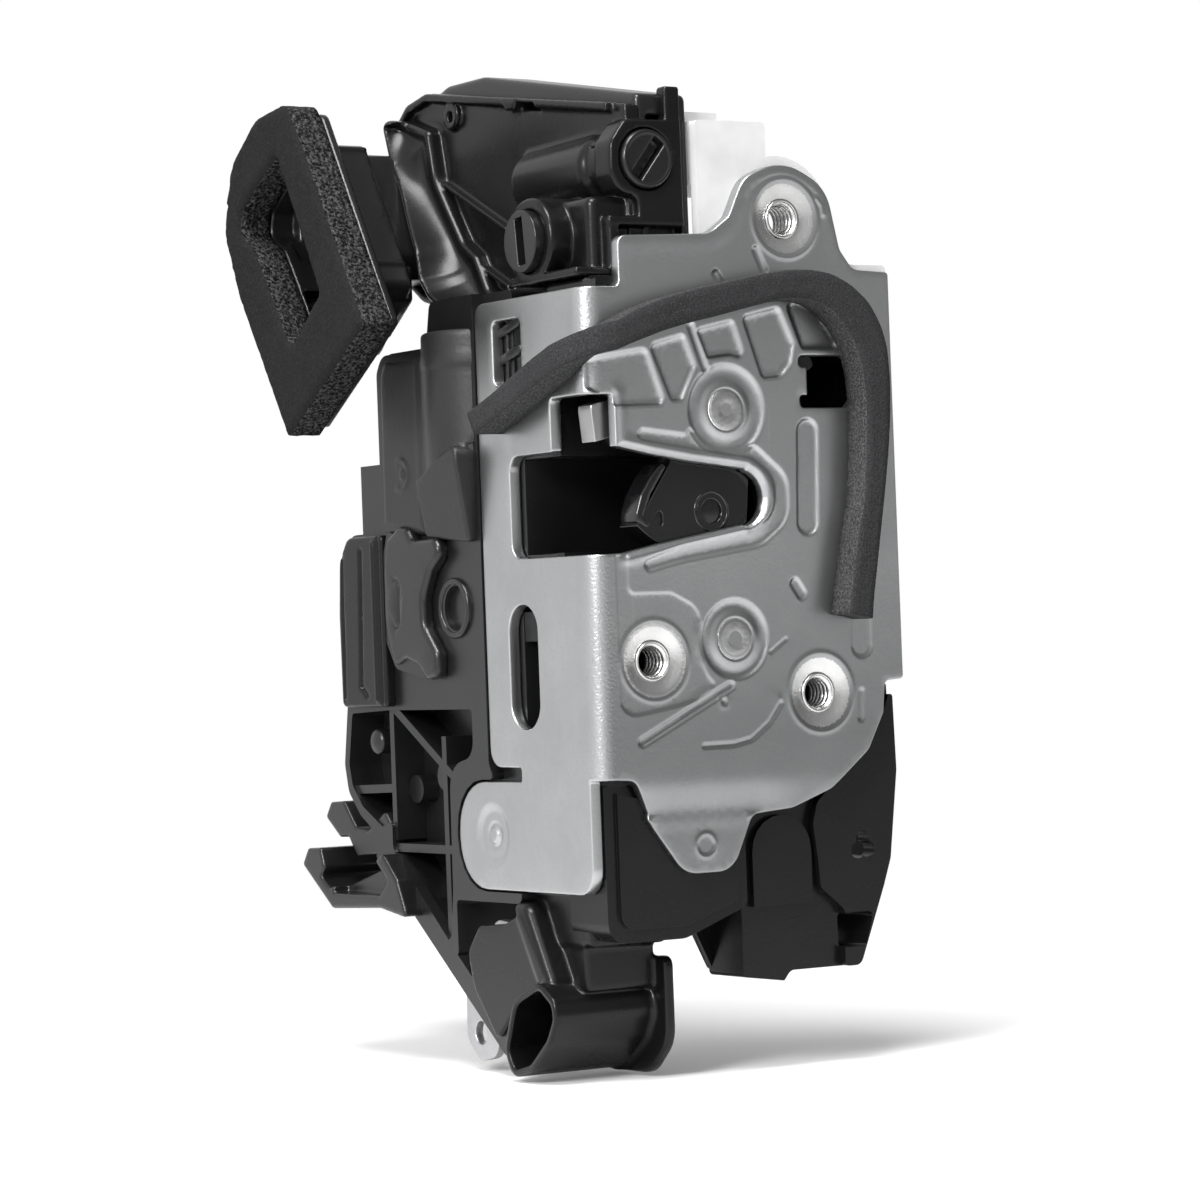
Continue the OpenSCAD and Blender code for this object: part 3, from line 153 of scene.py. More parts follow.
def steel(name, low, high, rough, grain=1.0, plate=False):
    """Zinc-plated steel: cloudy metal with fine pits and scratches."""
    n = Surface(name)
    cloud = n.noise(55, 5, 0.6)
    base = n.ramp(cloud, [(0.3, low), (0.7, high)])
    speck = n.ramp(n.noise(2600, 1, 0.5), [(0.62, 0.0), (0.74, 1.0)])
    tone = n.mix(speck, base, [v * 0.8 for v in high])
    # Long fine scratches in two directions
    a = n.noise(1, 2, 0.5, n.mapped((900, 900, 26), (0.0, 0.12, 0.0)))
    b = n.noise(1, 2, 0.5, n.mapped((700, 700, 22), (0.0, 0.95, 0.0)))
    scratch = n.math("MAXIMUM", n.ramp(a, [(0.70, 0.0), (0.76, 1.0)]), n.ramp(b, [(0.72, 0.0), (0.78, 1.0)]))
    tone = n.mix(n.math("MULTIPLY", scratch, 0.35), tone, [min(1, v * 1.2) for v in high])
    height = n.math("ADD", n.noise(1400, 2, 0.6), n.math("MULTIPLY", scratch, -0.35))
    if plate:
        # The fold sparkles and a few pits are dark; the sheet's lower front is darkened with painted shade
        spark = n.math("MULTIPLY", n.range(n.voronoi(1500), 0.0, 0.6, -0.5, 0.5), n.attribute("fold"))
        height = n.math("ADD", height, n.math("MULTIPLY", spark, 1.7))
        tone = n.mix(n.attribute("pit"), tone, [v * 0.18 for v in low])
        place = n.add("SeparateXYZ", {0: n.co})
        # Painted shade: the sheet's front face is darkened toward its lower edge
        painted_shade_low = n.range((place, "Z"), -0.012, -0.048, 0.0, 0.62)
        front = n.range((place, "X"), -0.0362, -0.0335, 0.0, 1.0)
        tone = n.mix(n.math("MULTIPLY", painted_shade_low, front), tone, [v * 0.42 for v in low])
    n.put(n.p, {"Base Color": tone, "Roughness": n.range(cloud, 0.3, 0.7, rough * 1.12, rough * 0.88), "Metallic": 1.0})
    wavy = n.bump(n.noise(120, 2, 0.5), 0.25, 0.00012)
    n.bump(height, 0.32 * grain, 0.00006, wavy)
    return n.m


def plastic(name, base, rough, grain=0.5, fine=1600, spec=0.4, dust=0.25):
    """Moulded plastic: spark-eroded grain, soft cloudy sheen and a little dust."""
    n = Surface(name)
    cloud = n.noise(38, 4, 0.6)
    tone = n.ramp(cloud, [(0.3, [v * 0.82 for v in base]), (0.72, [v * 1.2 for v in base])])
    speck = n.ramp(n.noise(3100, 1, 0.5), [(0.66, 0.0), (0.78, 1.0)])
    tone = n.mix(n.math("MULTIPLY", speck, dust), tone, [min(1, v * 2.6 + 0.02) for v in base])
    n.put(n.p, {"Base Color": tone, "Roughness": n.range(cloud, 0.3, 0.7, rough * 0.9, rough * 1.12),
                "Specular IOR Level": spec})
    n.bump(n.noise(fine, 3, 0.6), grain, 0.00005)
    return n.m


def foam(name, base, light, cell, specks=0.4, depth=0.0002, pores=0.0):
    """Open-cell foam: fine cells, light specks, dark pores and a matt surface."""
    n = Surface(name)
    tone = n.ramp(n.noise(60, 3, 0.6), [(0.3, [v * 0.85 for v in base]), (0.7, [v * 1.15 for v in base])])
    grain = n.noise(cell, 2, 0.65)
    half_light = [v * 0.45 + w * 0.55 for v, w in zip(base, light)]
    tone = n.mix(n.range(grain, 0.42, 0.70, 0.0, 1.0), tone, half_light)
    speck = n.ramp(n.noise(cell * 1.35, 1, 0.5), [(0.64, 0.0), (0.74, 1.0)])
    tone = n.mix(n.math("MULTIPLY", speck, specks), tone, light)
    cells = n.voronoi(cell * 0.6)
    if pores:
        hole = n.ramp(cells, [(0.16, 1.0), (0.42, 0.0)])
        tone = n.mix(n.math("MULTIPLY", hole, pores), tone, [v * 0.15 for v in base])
    n.put(n.p, {"Base Color": tone, "Roughness": 0.9, "Specular IOR Level": 0.08})
    n.bump(grain, 0.8, depth, n.bump(cells, 0.7, depth))
    return n.m


M = {
    "sheet": steel("galvanised_steel", (0.40, 0.405, 0.41), (0.48, 0.485, 0.49), 0.33, plate=True),
    "seat": steel("bright_zinc", (0.50, 0.50, 0.50), (0.80, 0.80, 0.79), 0.28, 2.2),
    "steel": steel("bright_steel", (0.42, 0.42, 0.42), (0.56, 0.56, 0.56), 0.32),
    "lever": steel("lever_steel", (0.36, 0.36, 0.37), (0.50, 0.50, 0.51), 0.42),
    "black": plastic("black_plastic", (0.0062, 0.0062, 0.0066), 0.30, 0.45, spec=0.46, dust=0.12),
    "case": plastic("black_plastic_smooth", (0.0065, 0.0065, 0.0070), 0.30, 0.35, spec=0.42, dust=0.10),
    # Painted shade: the same black plastic with a darker base, for the pieces that must look darker under these lamps
    "black_shaded": plastic("black_plastic_painted_shade", (0.0042, 0.0042, 0.0045), 0.27, 0.35, spec=0.26, dust=0.08),
    "rough": plastic("black_plastic_grained", (0.010, 0.010, 0.0105), 0.44, 1.0, 900, dust=0.25),
    "gloss": plastic("gloss_plastic", (0.005, 0.005, 0.0055), 0.16, 0.2, spec=0.6, dust=0.05),
    "white": plastic("white_plastic", (0.52, 0.52, 0.52), 0.42, 0.3, dust=0.0),
    "gear": plastic("gear_plastic", (0.74, 0.71, 0.62), 0.4, 0.3, dust=0.0),
    "rubber": plastic("rubber", (0.02, 0.02, 0.02), 0.75, 0.8, 800, spec=0.25),
    "foam": foam("grey_foam", (0.019, 0.019, 0.020), (0.062, 0.062, 0.064), 3000, 0.40, 0.00012),
    # The strip's cut sides: open cells and light specks, with a lighter tone that is partly painted light
    "foam_cut_and_lit": foam("grey_foam_cut_and_lit", (0.023, 0.023, 0.024), (0.13, 0.13, 0.13), 2600, 0.5, 0.0002),
    "gasket": foam("black_foam", (0.0095, 0.0095, 0.0100), (0.022, 0.022, 0.023), 1900, 0.2, 0.00010),
    "gasket_cut": foam("black_foam_cut", (0.0050, 0.0050, 0.0054), (0.13, 0.13, 0.13), 1500, 0.34, 0.0006, 0.9),
    "brass": steel("brass", (0.62, 0.46, 0.20), (0.72, 0.56, 0.28), 0.34),
}
MADE_OF = {
    "sheet": "latch_plate", "foam": "seal_strip", "gasket": "key_gasket", "rubber": "fork_stop_buffer",
    # The upper case, lower guard, duct and side cover take the black plastic darkened with painted shade
    "black_shaded": "latch_case lower_guard", "case": "striker_pocket side_cover", "gloss": "fork_bolt_overmould",
    "white": "latch_case_cap lock_slide", "gear": "motor_worm worm_wheel", "brass": "lead_frame connector_pins",
    "lever": "release_lever inside_release_lever outside_handle_lever",
    "steel": "back_plate fork_bolt fork_bolt_pin fork_bolt_spring pawl pawl_pin pawl_spring release_lever_pin "
             "lock_motor inside_lever_pin outside_lever_pin cover_screws",
    "black": "actuator_housing actuator_cover upper_case upper_cover emergency_lock_rotor setting_knob key_funnel "
             "key_follower latch_switch cable_duct cable_clip",
}
NODE_MATERIAL = {node: kind for kind, nodes in MADE_OF.items() for node in nodes.split()}
EDGE = 0.3
FINE_EDGE = {"motor_worm": 0, "worm_wheel": 0.08, "fork_bolt_spring": 0, "pawl_spring": 0, "lead_frame": 0.1,
             "connector_pins": 0.1, "cover_screws": 0.12, "lock_slide": 0.12}


def dress(node):
    """The node's material, and rounded edges of its own size."""
    o = NODES[node]
    o.data.materials.clear()
    o.data.materials.append(M[NODE_MATERIAL[node]])
    for p in o.data.polygons:
        p.use_smooth = True
    o.modifiers.new("weld", "WELD").merge_threshold = 1e-5
    planar = o.modifiers.new("planar", "DECIMATE")
    planar.decimate_type = "DISSOLVE"
    planar.angle_limit = math.radians(1.0)
    width = FINE_EDGE.get(node, EDGE)
    if width:
        b = o.modifiers.new("bevel", "BEVEL")
        b.width = width * MM
        b.segments = 2
        b.limit_method = "ANGLE"
        b.angle_limit = math.radians(32)
        b.use_clamp_overlap = True
        b.harden_normals = False
    o.modifiers.new("normals", "WEIGHTED_NORMAL").keep_sharp = True


for name in NODES:
    dress(name)


# ---------------------------------------------------------------- mesh helpers
def mesh_object(name, points, faces, material, body, indices=None):
    """A piece from points in millimetres. material is one material or a list, with a face's index."""
    me = bpy.data.meshes.new(name)
    me.from_pydata([tuple(float(v) * MM for v in p) for p in points], [], [tuple(int(i) for i in f) for f in faces])
    me.update()
    o = bpy.data.objects.new(name, me)
    scene.collection.objects.link(o)
    for m in material if isinstance(material, list) else [material]:
        me.materials.append(m)
    if indices is not None:
        me.polygons.foreach_set("material_index", np.array(indices, np.int32))
    me.polygons.foreach_set("use_smooth", [True] * len(me.polygons))
    me.update()
    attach(o, body)
    return o


def outward(o):
    """Turn all faces to the outside."""
    bm = bmesh.new()
    bm.from_mesh(o.data)
    bmesh.ops.recalc_face_normals(bm, faces=bm.faces)
    bm.to_mesh(o.data)
    bm.free()


def ring_faces(rows, n):
    """Faces between rings of n points each."""
    return [(j * n + i, (j + 1) * n + i, (j + 1) * n + (i + 1) % n, j * n + (i + 1) % n)
            for j in range(rows - 1) for i in range(n)]


def triangles(loops, others, holes):
    """Points and triangles of the area in the first loop and outside the holes."""
    edges, start = [], 0
    for q in loops:
        edges += [(start + i, start + (i + 1) % len(q)) for i in range(len(q))]
        start += len(q)
    points = np.vstack(loops + [others])
    verts, _, tris, *_ = delaunay_2d_cdt([Vector(p) for p in points], edges, [], 1, 1e-4)
    V = np.array([tuple(p) for p in verts])
    F = np.array([tuple(f) for f in tris if len(f) == 3])
    return V, F[clear(V[F].mean(1), loops[0], holes)]


def clear(P, loop, holes):
    """Which points are in the loop and outside the holes."""
    ok = inside(P, loop)
    for q in holes:
        ok &= ~inside(P, q)
    return ok


def rim(F):
    """The edges that only one triangle has."""
    e = np.vstack([F[:, [0, 1]], F[:, [1, 2]], F[:, [2, 0]]])
    have = {(a, b) for a, b in e}
    return [(a, b) for a, b in e if (b, a) not in have]


def rounded(points, n=5):
    """The outline's points with each corner [x, y, radius] rounded."""
    out = []
    for i, b in enumerate(points):
        r = b[2] if len(b) > 2 else 0
        p = np.array(b[:2], float)
        if r <= 0:
            out.append(p)
            continue
        u = np.array(points[i - 1][:2], float) - p
        v = np.array(points[(i + 1) % len(points)][:2], float) - p
        u, v = u / np.linalg.norm(u), v / np.linalg.norm(v)
        half = math.acos(max(-1, min(1, float(u @ v)))) / 2
        if half > math.pi / 2 - 1e-3:
            out.append(p)
            continue
        c = p + (u + v) / np.linalg.norm(u + v) * r / math.sin(half)
        s, t = p + u * r / math.tan(half), p + v * r / math.tan(half)
        a0, a1 = math.atan2(*(s - c)[::-1]), math.atan2(*(t - c)[::-1])
        d = (a1 - a0 + math.pi) % (2 * math.pi) - math.pi
        out += [c + r * np.array([math.cos(a0 + d * k / n), math.sin(a0 + d * k / n)]) for k in range(n + 1)]
    return np.array(out)


def resample(loop, step):
    p = np.array(loop, float)
    out = []
    for a, b in zip(p, np.roll(p, -1, 0)):
        m = max(1, int(math.ceil(np.linalg.norm(b - a) / step)))
        out += [a + (b - a) * k / m for k in range(m)]
    return np.array(out)


def circle(x, z, r, n=72):
    turn = [2 * math.pi * k / n for k in range(n)]
    return np.array([[x + r * math.cos(t), z + r * math.sin(t)] for t in turn])


def distance(P, path, closed=True):
    """How far each point is from the path."""
    path = np.array(path, float)
    a = path if closed else path[:-1]
    b = np.roll(path, -1, 0) if closed else path[1:]
    best = np.full(len(P), 1e9)
    for s, t in zip(a, b):
        d = t - s
        k = np.clip(((P - s) @ d) / max(1e-12, d @ d), 0, 1)
        best = np.minimum(best, np.hypot(*(P - s - k[:, None] * d).T))
    return best


def inside(P, loop):
    loop = np.array(loop, float)
    x, y = P[:, 0], P[:, 1]
    hit = np.zeros(len(P), bool)
    for (x0, y0), (x1, y1) in zip(loop, np.roll(loop, -1, 0)):
        if y0 != y1:
            cross = (y0 > y) != (y1 > y)
            hit ^= cross & (x < (x1 - x0) * (y - y0) / (y1 - y0) + x0)
    return hit


def signed(P, loop):
    d = distance(P, loop)
    return np.where(inside(P, loop), -d, d)


def smooth(a, b, x):
    t = np.clip((x - a) / (b - a), 0, 1)
    return t * t * (3 - 2 * t)


def bell(d, at, width):
    return np.exp(-((d - at) / width) ** 2)


def away(P, at):
    return np.hypot(P[:, 0] - at[0], P[:, 1] - at[1])


# ---------------------------------------------------------------- moulded pieces, as distance fields
# A shape is a function of x, y, z in millimetres: below 0 inside, above 0 outside.
def blend(a, b, k=1.0):
    """Both shapes, with a fillet of about k between them."""
    h = np.clip(0.5 + 0.5 * (b - a) / k, 0, 1)
    return b + (a - b) * h - k * h * (1 - h)


def cut(a, b, k=0.5):
    """The first shape without the second, its new edges rounded by about k."""
    return -blend(-a, b, k)


def flat(u, v, loop):
    """Distance in a plane from a closed outline."""
    a, b = np.broadcast_arrays(u, v)
    return signed(np.stack([a.ravel(), b.ravel()], 1), loop).reshape(a.shape)


def slab(d, w, lo, hi, r=0.5):
    """The plane shape d, from lo to hi along w, its edges rounded by r."""
    d = d + r
    e = np.abs(w - (lo + hi) / 2) - (hi - lo) / 2 + r
    return np.minimum(np.maximum(d, e), 0) + np.hypot(np.maximum(d, 0), np.maximum(e, 0)) - r


def rod(u, v, w, at, lo, hi, r, end=None, edge=0.4):
    """A round bar along w, of radius r at lo and end at hi."""
    k = np.clip((w - lo) / (hi - lo), 0, 1)
    return slab(np.hypot(u - at[0], v - at[1]) - (r + ((end or r) - r) * k), w, lo, hi, edge)


def brick(x, y, z, lo, hi, r=0.5):
    q = [np.abs(w - (a + b) / 2) - (b - a) / 2 + r for w, a, b in zip((x, y, z), lo, hi)]
    out = sum(np.maximum(d, 0) ** 2 for d in q) ** 0.5
    return out + np.minimum(np.maximum(np.maximum(q[0], q[1]), q[2]), 0) - r


def bar(u, v, w, a, b, half, lo, hi, r=0.3):
    """A straight rib from a to b in (u, v), from lo to hi along w."""
    (au, av), (bu, bv) = a, b
    k = np.clip(((u - au) * (bu - au) + (v - av) * (bv - av)) / ((bu - au) ** 2 + (bv - av) ** 2), 0, 1)
    return slab(np.hypot(u - au - k * (bu - au), v - av - k * (bv - av)) - half, w, lo, hi, r)


KEPT_FACES = 0.45
PROBE = 0.04


def moulded(name, shape, lo, hi, step, material, replaced=None, body="latch"):
    """A closed mesh of the surface where shape is 0, its points in the cells that the surface crosses."""
    ax = [np.arange(a - 1.5 * step, b + 1.6 * step, step) for a, b in zip(lo, hi)]
    size = [len(a) for a in ax]
    D = np.broadcast_to(shape(ax[0][:, None, None], ax[1][None, :, None], ax[2][None, None, :]), size)
    S = D < 0
    S[0], S[-1], S[:, 0], S[:, -1], S[:, :, 0], S[:, :, -1] = (False,) * 6
    n = [k - 1 for k in size]
    C = sum(S[i:i + n[0], j:j + n[1], k:k + n[2]].astype(np.int8) for i in (0, 1) for j in (0, 1) for k in (0, 1))
    cells = np.argwhere((C > 0) & (C < 8))
    number = np.full(C.shape, -1, np.int64)
    number[tuple(cells.T)] = np.arange(len(cells))
    P, W = np.zeros((len(cells), 3)), np.zeros(len(cells))
    for axis in range(3):
        for p in (0, 1):
            for q in (0, 1):
                a = cells.copy()
                a[:, (axis + 1) % 3] += p
                a[:, (axis + 2) % 3] += q
                b = a.copy()
                b[:, axis] += 1
                hit = S[tuple(a.T)] != S[tuple(b.T)]
                da, db = D[tuple(a.T)], D[tuple(b.T)]
                gap = np.where(np.abs(da - db) > 1e-9, da - db, 1)
                at = a.astype(float)
                at[:, axis] += np.clip(da / gap, 0, 1)
                P[hit] += at[hit]
                W[hit] += 1
    P = P / W[:, None] * step + np.array([a[0] for a in ax])
    faces = []
    for axis in range(3):
        u, v = (axis + 1) % 3, (axis + 2) % 3
        s0, s1 = [slice(None)] * 3, [slice(None)] * 3
        s0[axis], s1[axis] = slice(0, -1), slice(1, None)
        e = np.argwhere(S[tuple(s0)] != S[tuple(s1)])
        solid = S[tuple(e.T)]
        quad = []
        for du, dv in ((1, 1), (0, 1), (0, 0), (1, 0)):
            c = e.copy()
            c[:, u] -= du
            c[:, v] -= dv
            quad.append(number[tuple(c.T)])
        quad = np.stack(quad, 1)
        faces.append(np.where(solid[:, None], quad, quad[:, ::-1]))
    faces = np.vstack(faces)
    # Draw the points onto the surface along its slope
    for _ in range(2):
        d = shape(*P.T)
        g = np.stack([(shape(*(P + np.eye(3)[k] * PROBE).T) - d) / PROBE for k in range(3)], 1)
        move = np.clip(d / np.maximum(0.25, (g ** 2).sum(1)), -0.4 * step, 0.4 * step)
        P = P - move[:, None] * g * 0.9
    o = mesh_object(name, P, faces, material, body)
    o.modifiers.new("thin", "DECIMATE").ratio = KEPT_FACES
    if replaced:
        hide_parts(replaced)


# The upper case's panel in x, the emergency lock in (x, z), the knob and the key's follower in (y, z)
PANEL = -22.0
ROTOR, KNOB, FOLLOWER = (-18.8, 67.8), (21.0, 52.9), (95.5, 64.0)
FUNNEL_HOLE = [[88.6, 77.4, 1], [71.4, 47.2, 1.5], [85.3, 36.4, 3], [100.8, 59.3, 2], [107, 63, 2.5], [106, 67.5, 2.5],
               [96, 73.8, 4]]


def upper_case():
    """The top moulding: a rimmed panel, the ridged block by the funnel, and the seats of both turning locks."""
    out = rounded([[5.1, 44.4, 0.5], [5.1, 79, 1], [81.7, 91.3, 5], [90, 89.8, 3], [96, 85.2, 3], [99.6, 77, 5],
                   [101.5, 64, 9], [95, 53, 8], [86, 47, 6], [76, 44.4, 3]])
    outer = rounded([[92, 86, 2], [88.6, 76, 5], [79.8, 65, 14], [71.6, 55.5, 10], [69.2, 49.2, 4], [65.8, 45.4, 4],
                     [60.2, 42.2, 4], [53.6, 40.2, 3], [50.2, 44, 2], [54, 60, 1], [68, 92, 1]])
    inner = rounded([[78.6, 83, 2], [76.2, 72.2, 10], [70.6, 64.4, 12], [65.6, 57.6, 5], [60.6, 54.4, 3],
                     [56.2, 47, 4], [50, 42.6, 1], [48, 36, 1], [100, 36, 1], [100, 90, 1]])
    seat = rounded([[-27.0, 71.0, 4], [-23.6, 75.6, 2], [-10.2, 76, 0.5], [-10.2, 54.6, 0.5], [-20.9, 54.6, 0.5],
                    [-20.9, 60.4, 2], [-25.2, 61.0, 4], [-27.2, 65.0, 4]])
    tab = [[50.4, 86], [48.2, 83.2], [45, 83.0], [43.4, 85.2]]
    slot = [[44.4, 83.0], [36.8, 81.9], [36.8, 83.3], [44, 84.5]]

    def shape(x, y, z):
        d = flat(y, z, out)
        s = slab(d, x, PANEL, PANEL + 3.6, 0.4)
        s = blend(s, slab(np.maximum(np.maximum(d, -1.7 - d), 9.4 - y), x, PANEL - 1.9, PANEL + 0.5, 0.5), 0.8)
        left, right = flat(y, z, outer), flat(y, z, inner)
        dl, dr = np.maximum(-left - 1.5, 0), np.maximum(-right, 0.01)
        t = dr / (dr + dl)
        crest = -34.4 + 5.0 * smooth(50, 77, z)
        top = -25.6 + (crest + 25.6) * t ** 3.6 + 1.3 * bell(dr, 3.2, 1.7) * (1 - t)
        e = -blend(-left, -right, 0.6)
        s = blend(s, -blend(-e, -0.72 * (top - x), 1.5), 1.0)
        for a, b in (((75, 71), (50, 58.8)), ((66, 54.6), (50, 46.8))):
            s = blend(s, bar(y, z, x, a, b, 0.45, PANEL - 2.0, PANEL + 0.5), 0.7)
        s = blend(s, rod(y, z, x, (72, 85.3), PANEL - 1.4, PANEL + 0.5, 3.0), 0.6)
        s = cut(s, rod(y, z, x, (72, 85.0), PANEL - 3, PANEL + 2, 1.15), 0.2)
        s = blend(s, slab(flat(y, z, tab), x, PANEL - 1.9, PANEL + 0.5, 0.3), 0.3)
        s = cut(s, slab(flat(y, z, slot), x, PANEL - 3, PANEL + 5, 0.1), 0.2)
        # The emergency lock's tube, its wide rear part and its seat
        s = blend(s, rod(x, z, y, (-19.6, 67.2), 14.0, 44.5, 7.3, 6.8, 2.4), 1.2)
        s = blend(s, rod(x, z, y, ROTOR, 4.0, 16.0, 6.9), 0.5)
        s = blend(s, slab(flat(x, z, seat), y, 3.0, 9.5, 0.6), 0.6)
        s = blend(s, brick(x, y, z, (-13.8, 3.2, 54.6), (-10.2, 6.4, 82.6), 0.5), 0.3)
        # The knob's boss and its collar, and the ledge round the plate's corner
        s = blend(s, brick(x, y, z, (-30.6, 6.0, 44.4), (-21.0, 27, 60.6), 1.8), 0.8)
        s = blend(s, rod(y, z, x, KNOB, -36.0, -21.0, 8.7, edge=0.9), 0.8)
        s = blend(s, brick(x, y, z, (-36, 3.2, 44.4), (-21, 29, 46.2), 0.5), 0.5)
        s = blend(s, brick(x, y, z, (-28.0, 3.0, 44.4), (-25.6, 10, 56.4), 0.6), 0.4)
        s = blend(s, brick(x, y, z, (-28.0, 3.0, 54.5), (-10.2, 9, 56.4), 0.5), 0.4)
        s = blend(s, rod(y, z, x, FOLLOWER, PANEL - 3, PANEL + 2, 9), 0.5)
        # Bores
        s = cut(s, rod(x, z, y, ROTOR, -2, 16, 6.25), 0.3)
        s = cut(s, rod(x, z, y, ROTOR, -2, 42.5, 3.6), 0.2)
        s = cut(s, rod(y, z, x, KNOB, -40, -25, 6.35), 0.3)
        s = cut(s, rod(y, z, x, KNOB, -40, -17, 4.1), 0.2)
        return cut(s, rod(y, z, x, FOLLOWER, -40, 0, 5.2), 0.2)

    moulded("upper_moulding", shape, (-37, 2.8, 39.6), (-9.8, 105, 92.5), 0.5, M["black_shaded"], "upper_case")


def cable_duct():
    """The duct's oval tube, its flange and the shield that folds into the case."""
    tube = rounded([[20.2, -94.6, 4], [14.4, -98.2, 3.5], [13.6, -102, 4], [16.6, -107, 6], [23.8, -112.8, 6],
                    [31.6, -114.7, 3.2], [34.6, -109, 4], [30.4, -98.6, 6]])
    flange = rounded([[9.8, -90.6, 2], [9.8, -108, 7], [17, -114.6, 7], [34, -114.6, 2], [34, -92, 2]])
    shield = rounded([[29.6, -81.4, 1.5], [36.5, -84, 3], [46.7, -84.6, 2.5], [51.9, -90.2, 4], [50.2, -97.6, 6],
                      [42.2, -107.2, 0.8], [40.4, -107, 0.8], [31, -99, 4], [24, -95.6, 1], [21.4, -93, 1]])

    def shape(x, y, z):
        t = flat(y, z, tube)
        s = slab(t, x, -40.6, -14.6, 0.5)
        s = blend(s, slab(flat(y, z, flange), x, -17.2, -15.0, 0.6), 1.5)
        # Shield, and the fold from which a wall runs back to the case
        e = flat(y, z, shield)
        s = blend(s, slab(e, x + 0.02 * (z + 95), -38.2, -35.4, 0.6), 0.8)
        crest = 23.1 + 0.584 * (z + 94.9)
        wall = brick(x, y - crest, z, (-38.4, -4.4, -96), (-16, 1.8, -79.5), 1.9)
        s = blend(s, wall, 0.8)
        s = blend(s, brick(x, y, z, (-33.5, 10.5, -88), (-16, 32, -70), 1.0), 1.2)
        s = blend(s, brick(x, y, z, (-33, 13.5, -97), (-17, 30, -84.5), 1.0), 1.2)
        s = cut(s, slab(t + 1.5, x, -44, -17, 0.3), 0.5)
        s = cut(s, rod(y, z, x, (24, -104.6), -20, -10, 3.4), 0.2)
        return cut(s, rod(y, z, x, (42, -88.5), -36.3, -30, 2.6), 0.1)

    moulded("duct_moulding", shape, (-41, 9.4, -115.2), (-14.4, 53, -77), 0.42, M["black_shaded"], "cable_duct")


def cable_clip():
    """Two hooks, one above the other, that hold a cable on the housing's edge."""
    upper = rounded([[112.2, -60.3, 0.8], [106.3, -60, 0.8], [101, -65.8, 0.8], [96, -66.4, 2], [88, -62, 1],
                     [84, -66, 1], [90, -71.2, 1.2], [101.2, -71.9, 0.8], [104.6, -67.8, 0.6], [108.6, -67.9, 0.8],
                     [114.8, -63.6, 0.8]])
    channel = rounded([[108, -72, 0.5], [90, -71.6, 0.5], [84, -76.4, 1], [88, -79.6, 1], [108, -79.6, 0.5]])
    lower = rounded([[119.4, -70.2, 0.8], [113.6, -70, 0.8], [112, -74.2, 0.8], [114, -76.2, 0.6], [110.2, -78.6, 1],
                     [93.4, -74.6, 1.5], [86, -70.6, 1], [80, -76, 1], [76, -84, 1], [88, -82.2, 1], [109, -83, 1],
                     [122.2, -73.8, 0.8]])

    # The lower hook stands out further toward -X, and this far forward of its outline
    forward = 4.4

    def shape(x, y, z):
        s = slab(flat(y, z, upper), x, -36.6, -24.5, 0.5)
        s = blend(s, slab(flat(y + forward, z, lower), x, -41.2, -24.5, 0.5), 0.5)
        return cut(s, slab(flat(y + forward, z, channel), x, -43, -37.4, 0.3), 0.6)

    moulded("cable_hooks", shape, (-41.6, 71, -85), (-24, 118.4, -59), 0.45, M["black"], "cable_clip")


def motor_bulge():
    """The rounded form over the lock motor, and the box beside it."""
    panel = rounded([[61.8, 7.2, 1], [61.8, -4.6, 1], [44.4, -6.2, 1], [43.6, 14.5, 2]])
    box = rounded([[61.5, 33.9, 2], [78.6, 34.2, 3.5], [80.4, 30, 5], [80.9, -2.4, 0.8], [61.3, -4.6, 0.8]])
    motor, radius = (-29.0, 53.0), 12.35

    def shape(x, y, z):
        s = slab(flat(y, z, box), x, -38.9, -33, 2.6)
        # The motor's can ends low along a slant, and a collar closes it above
        can = np.maximum(rod(x, y, z, motor, -14, 34.4, radius, edge=2.2), (7.4 + (61.5 - y) * 0.38 - z) * 0.93)
        s = blend(s, can, 3.2)
        s = blend(s, rod(x, y, z, motor, 30, 37.6, radius + 0.2, radius + 0.1, 1.0), 0.7)
        s = blend(s, slab(flat(y, z, panel), x - 0.18 * np.maximum(0, 10 - z), -41.5, -34, 0.6), 0.6)
        ring = np.abs(np.hypot(y - 71.3, z - 9) - 3.1) - 0.45
        s = blend(s, slab(np.maximum(ring, y - 73.0), x, -39.2, -38, 0.2), 0.3)
        return blend(s, rod(y, z, x, (70.6, 9), -39.3, -37, 1.0), 0.4)

    moulded("motor_bulge", shape, (-42.4, 39.8, -7), (-16, 81.4, 38.2), 0.5, M["rough"])


def wheel_pad():
    """The pad over the worm wheel and the ringed hole beside it."""
    pad = rounded([[77.6, -4.4, 2], [72.4, -1.8, 2], [68.6, -2.4, 1.5], [66.4, -4.9, 2], [57, -4.8, 2],
                   [54.2, -8, 2.4], [59.4, -11.6, 4], [62.8, -17, 4], [62.6, -23, 4], [57.4, -28.6, 2.4],
                   [57.4, -33.4, 2], [62, -34.2, 1.5], [66, -31, 3], [71, -29.6, 3], [75.6, -31.2, 1.5],
                   [79.2, -22, 12], [79, -11, 10]])
    groove = rounded([[75.6, -13, 1.4], [72.4, -13, 1.4], [72.8, -23, 1.4], [75.4, -23, 1.4]])

    def shape(x, y, z):
        s = slab(flat(y, z, pad), x, -39.9, -36.6, 1.2)
        s = cut(s, slab(np.maximum(np.abs(flat(y, z, groove)) - 0.28, y - 74.6), x, -41, -39.5, 0.1), 0.3)
        lip = np.abs(np.hypot(y - 53.4, z + 19.5) - 5.6) - 0.7
        return np.minimum(s, slab(lip, x, -37.9, -36.6, 0.4))

    moulded("wheel_pad", shape, (-40.2, 46, -35), (-36.4, 80, -1), 0.42, M["black"])


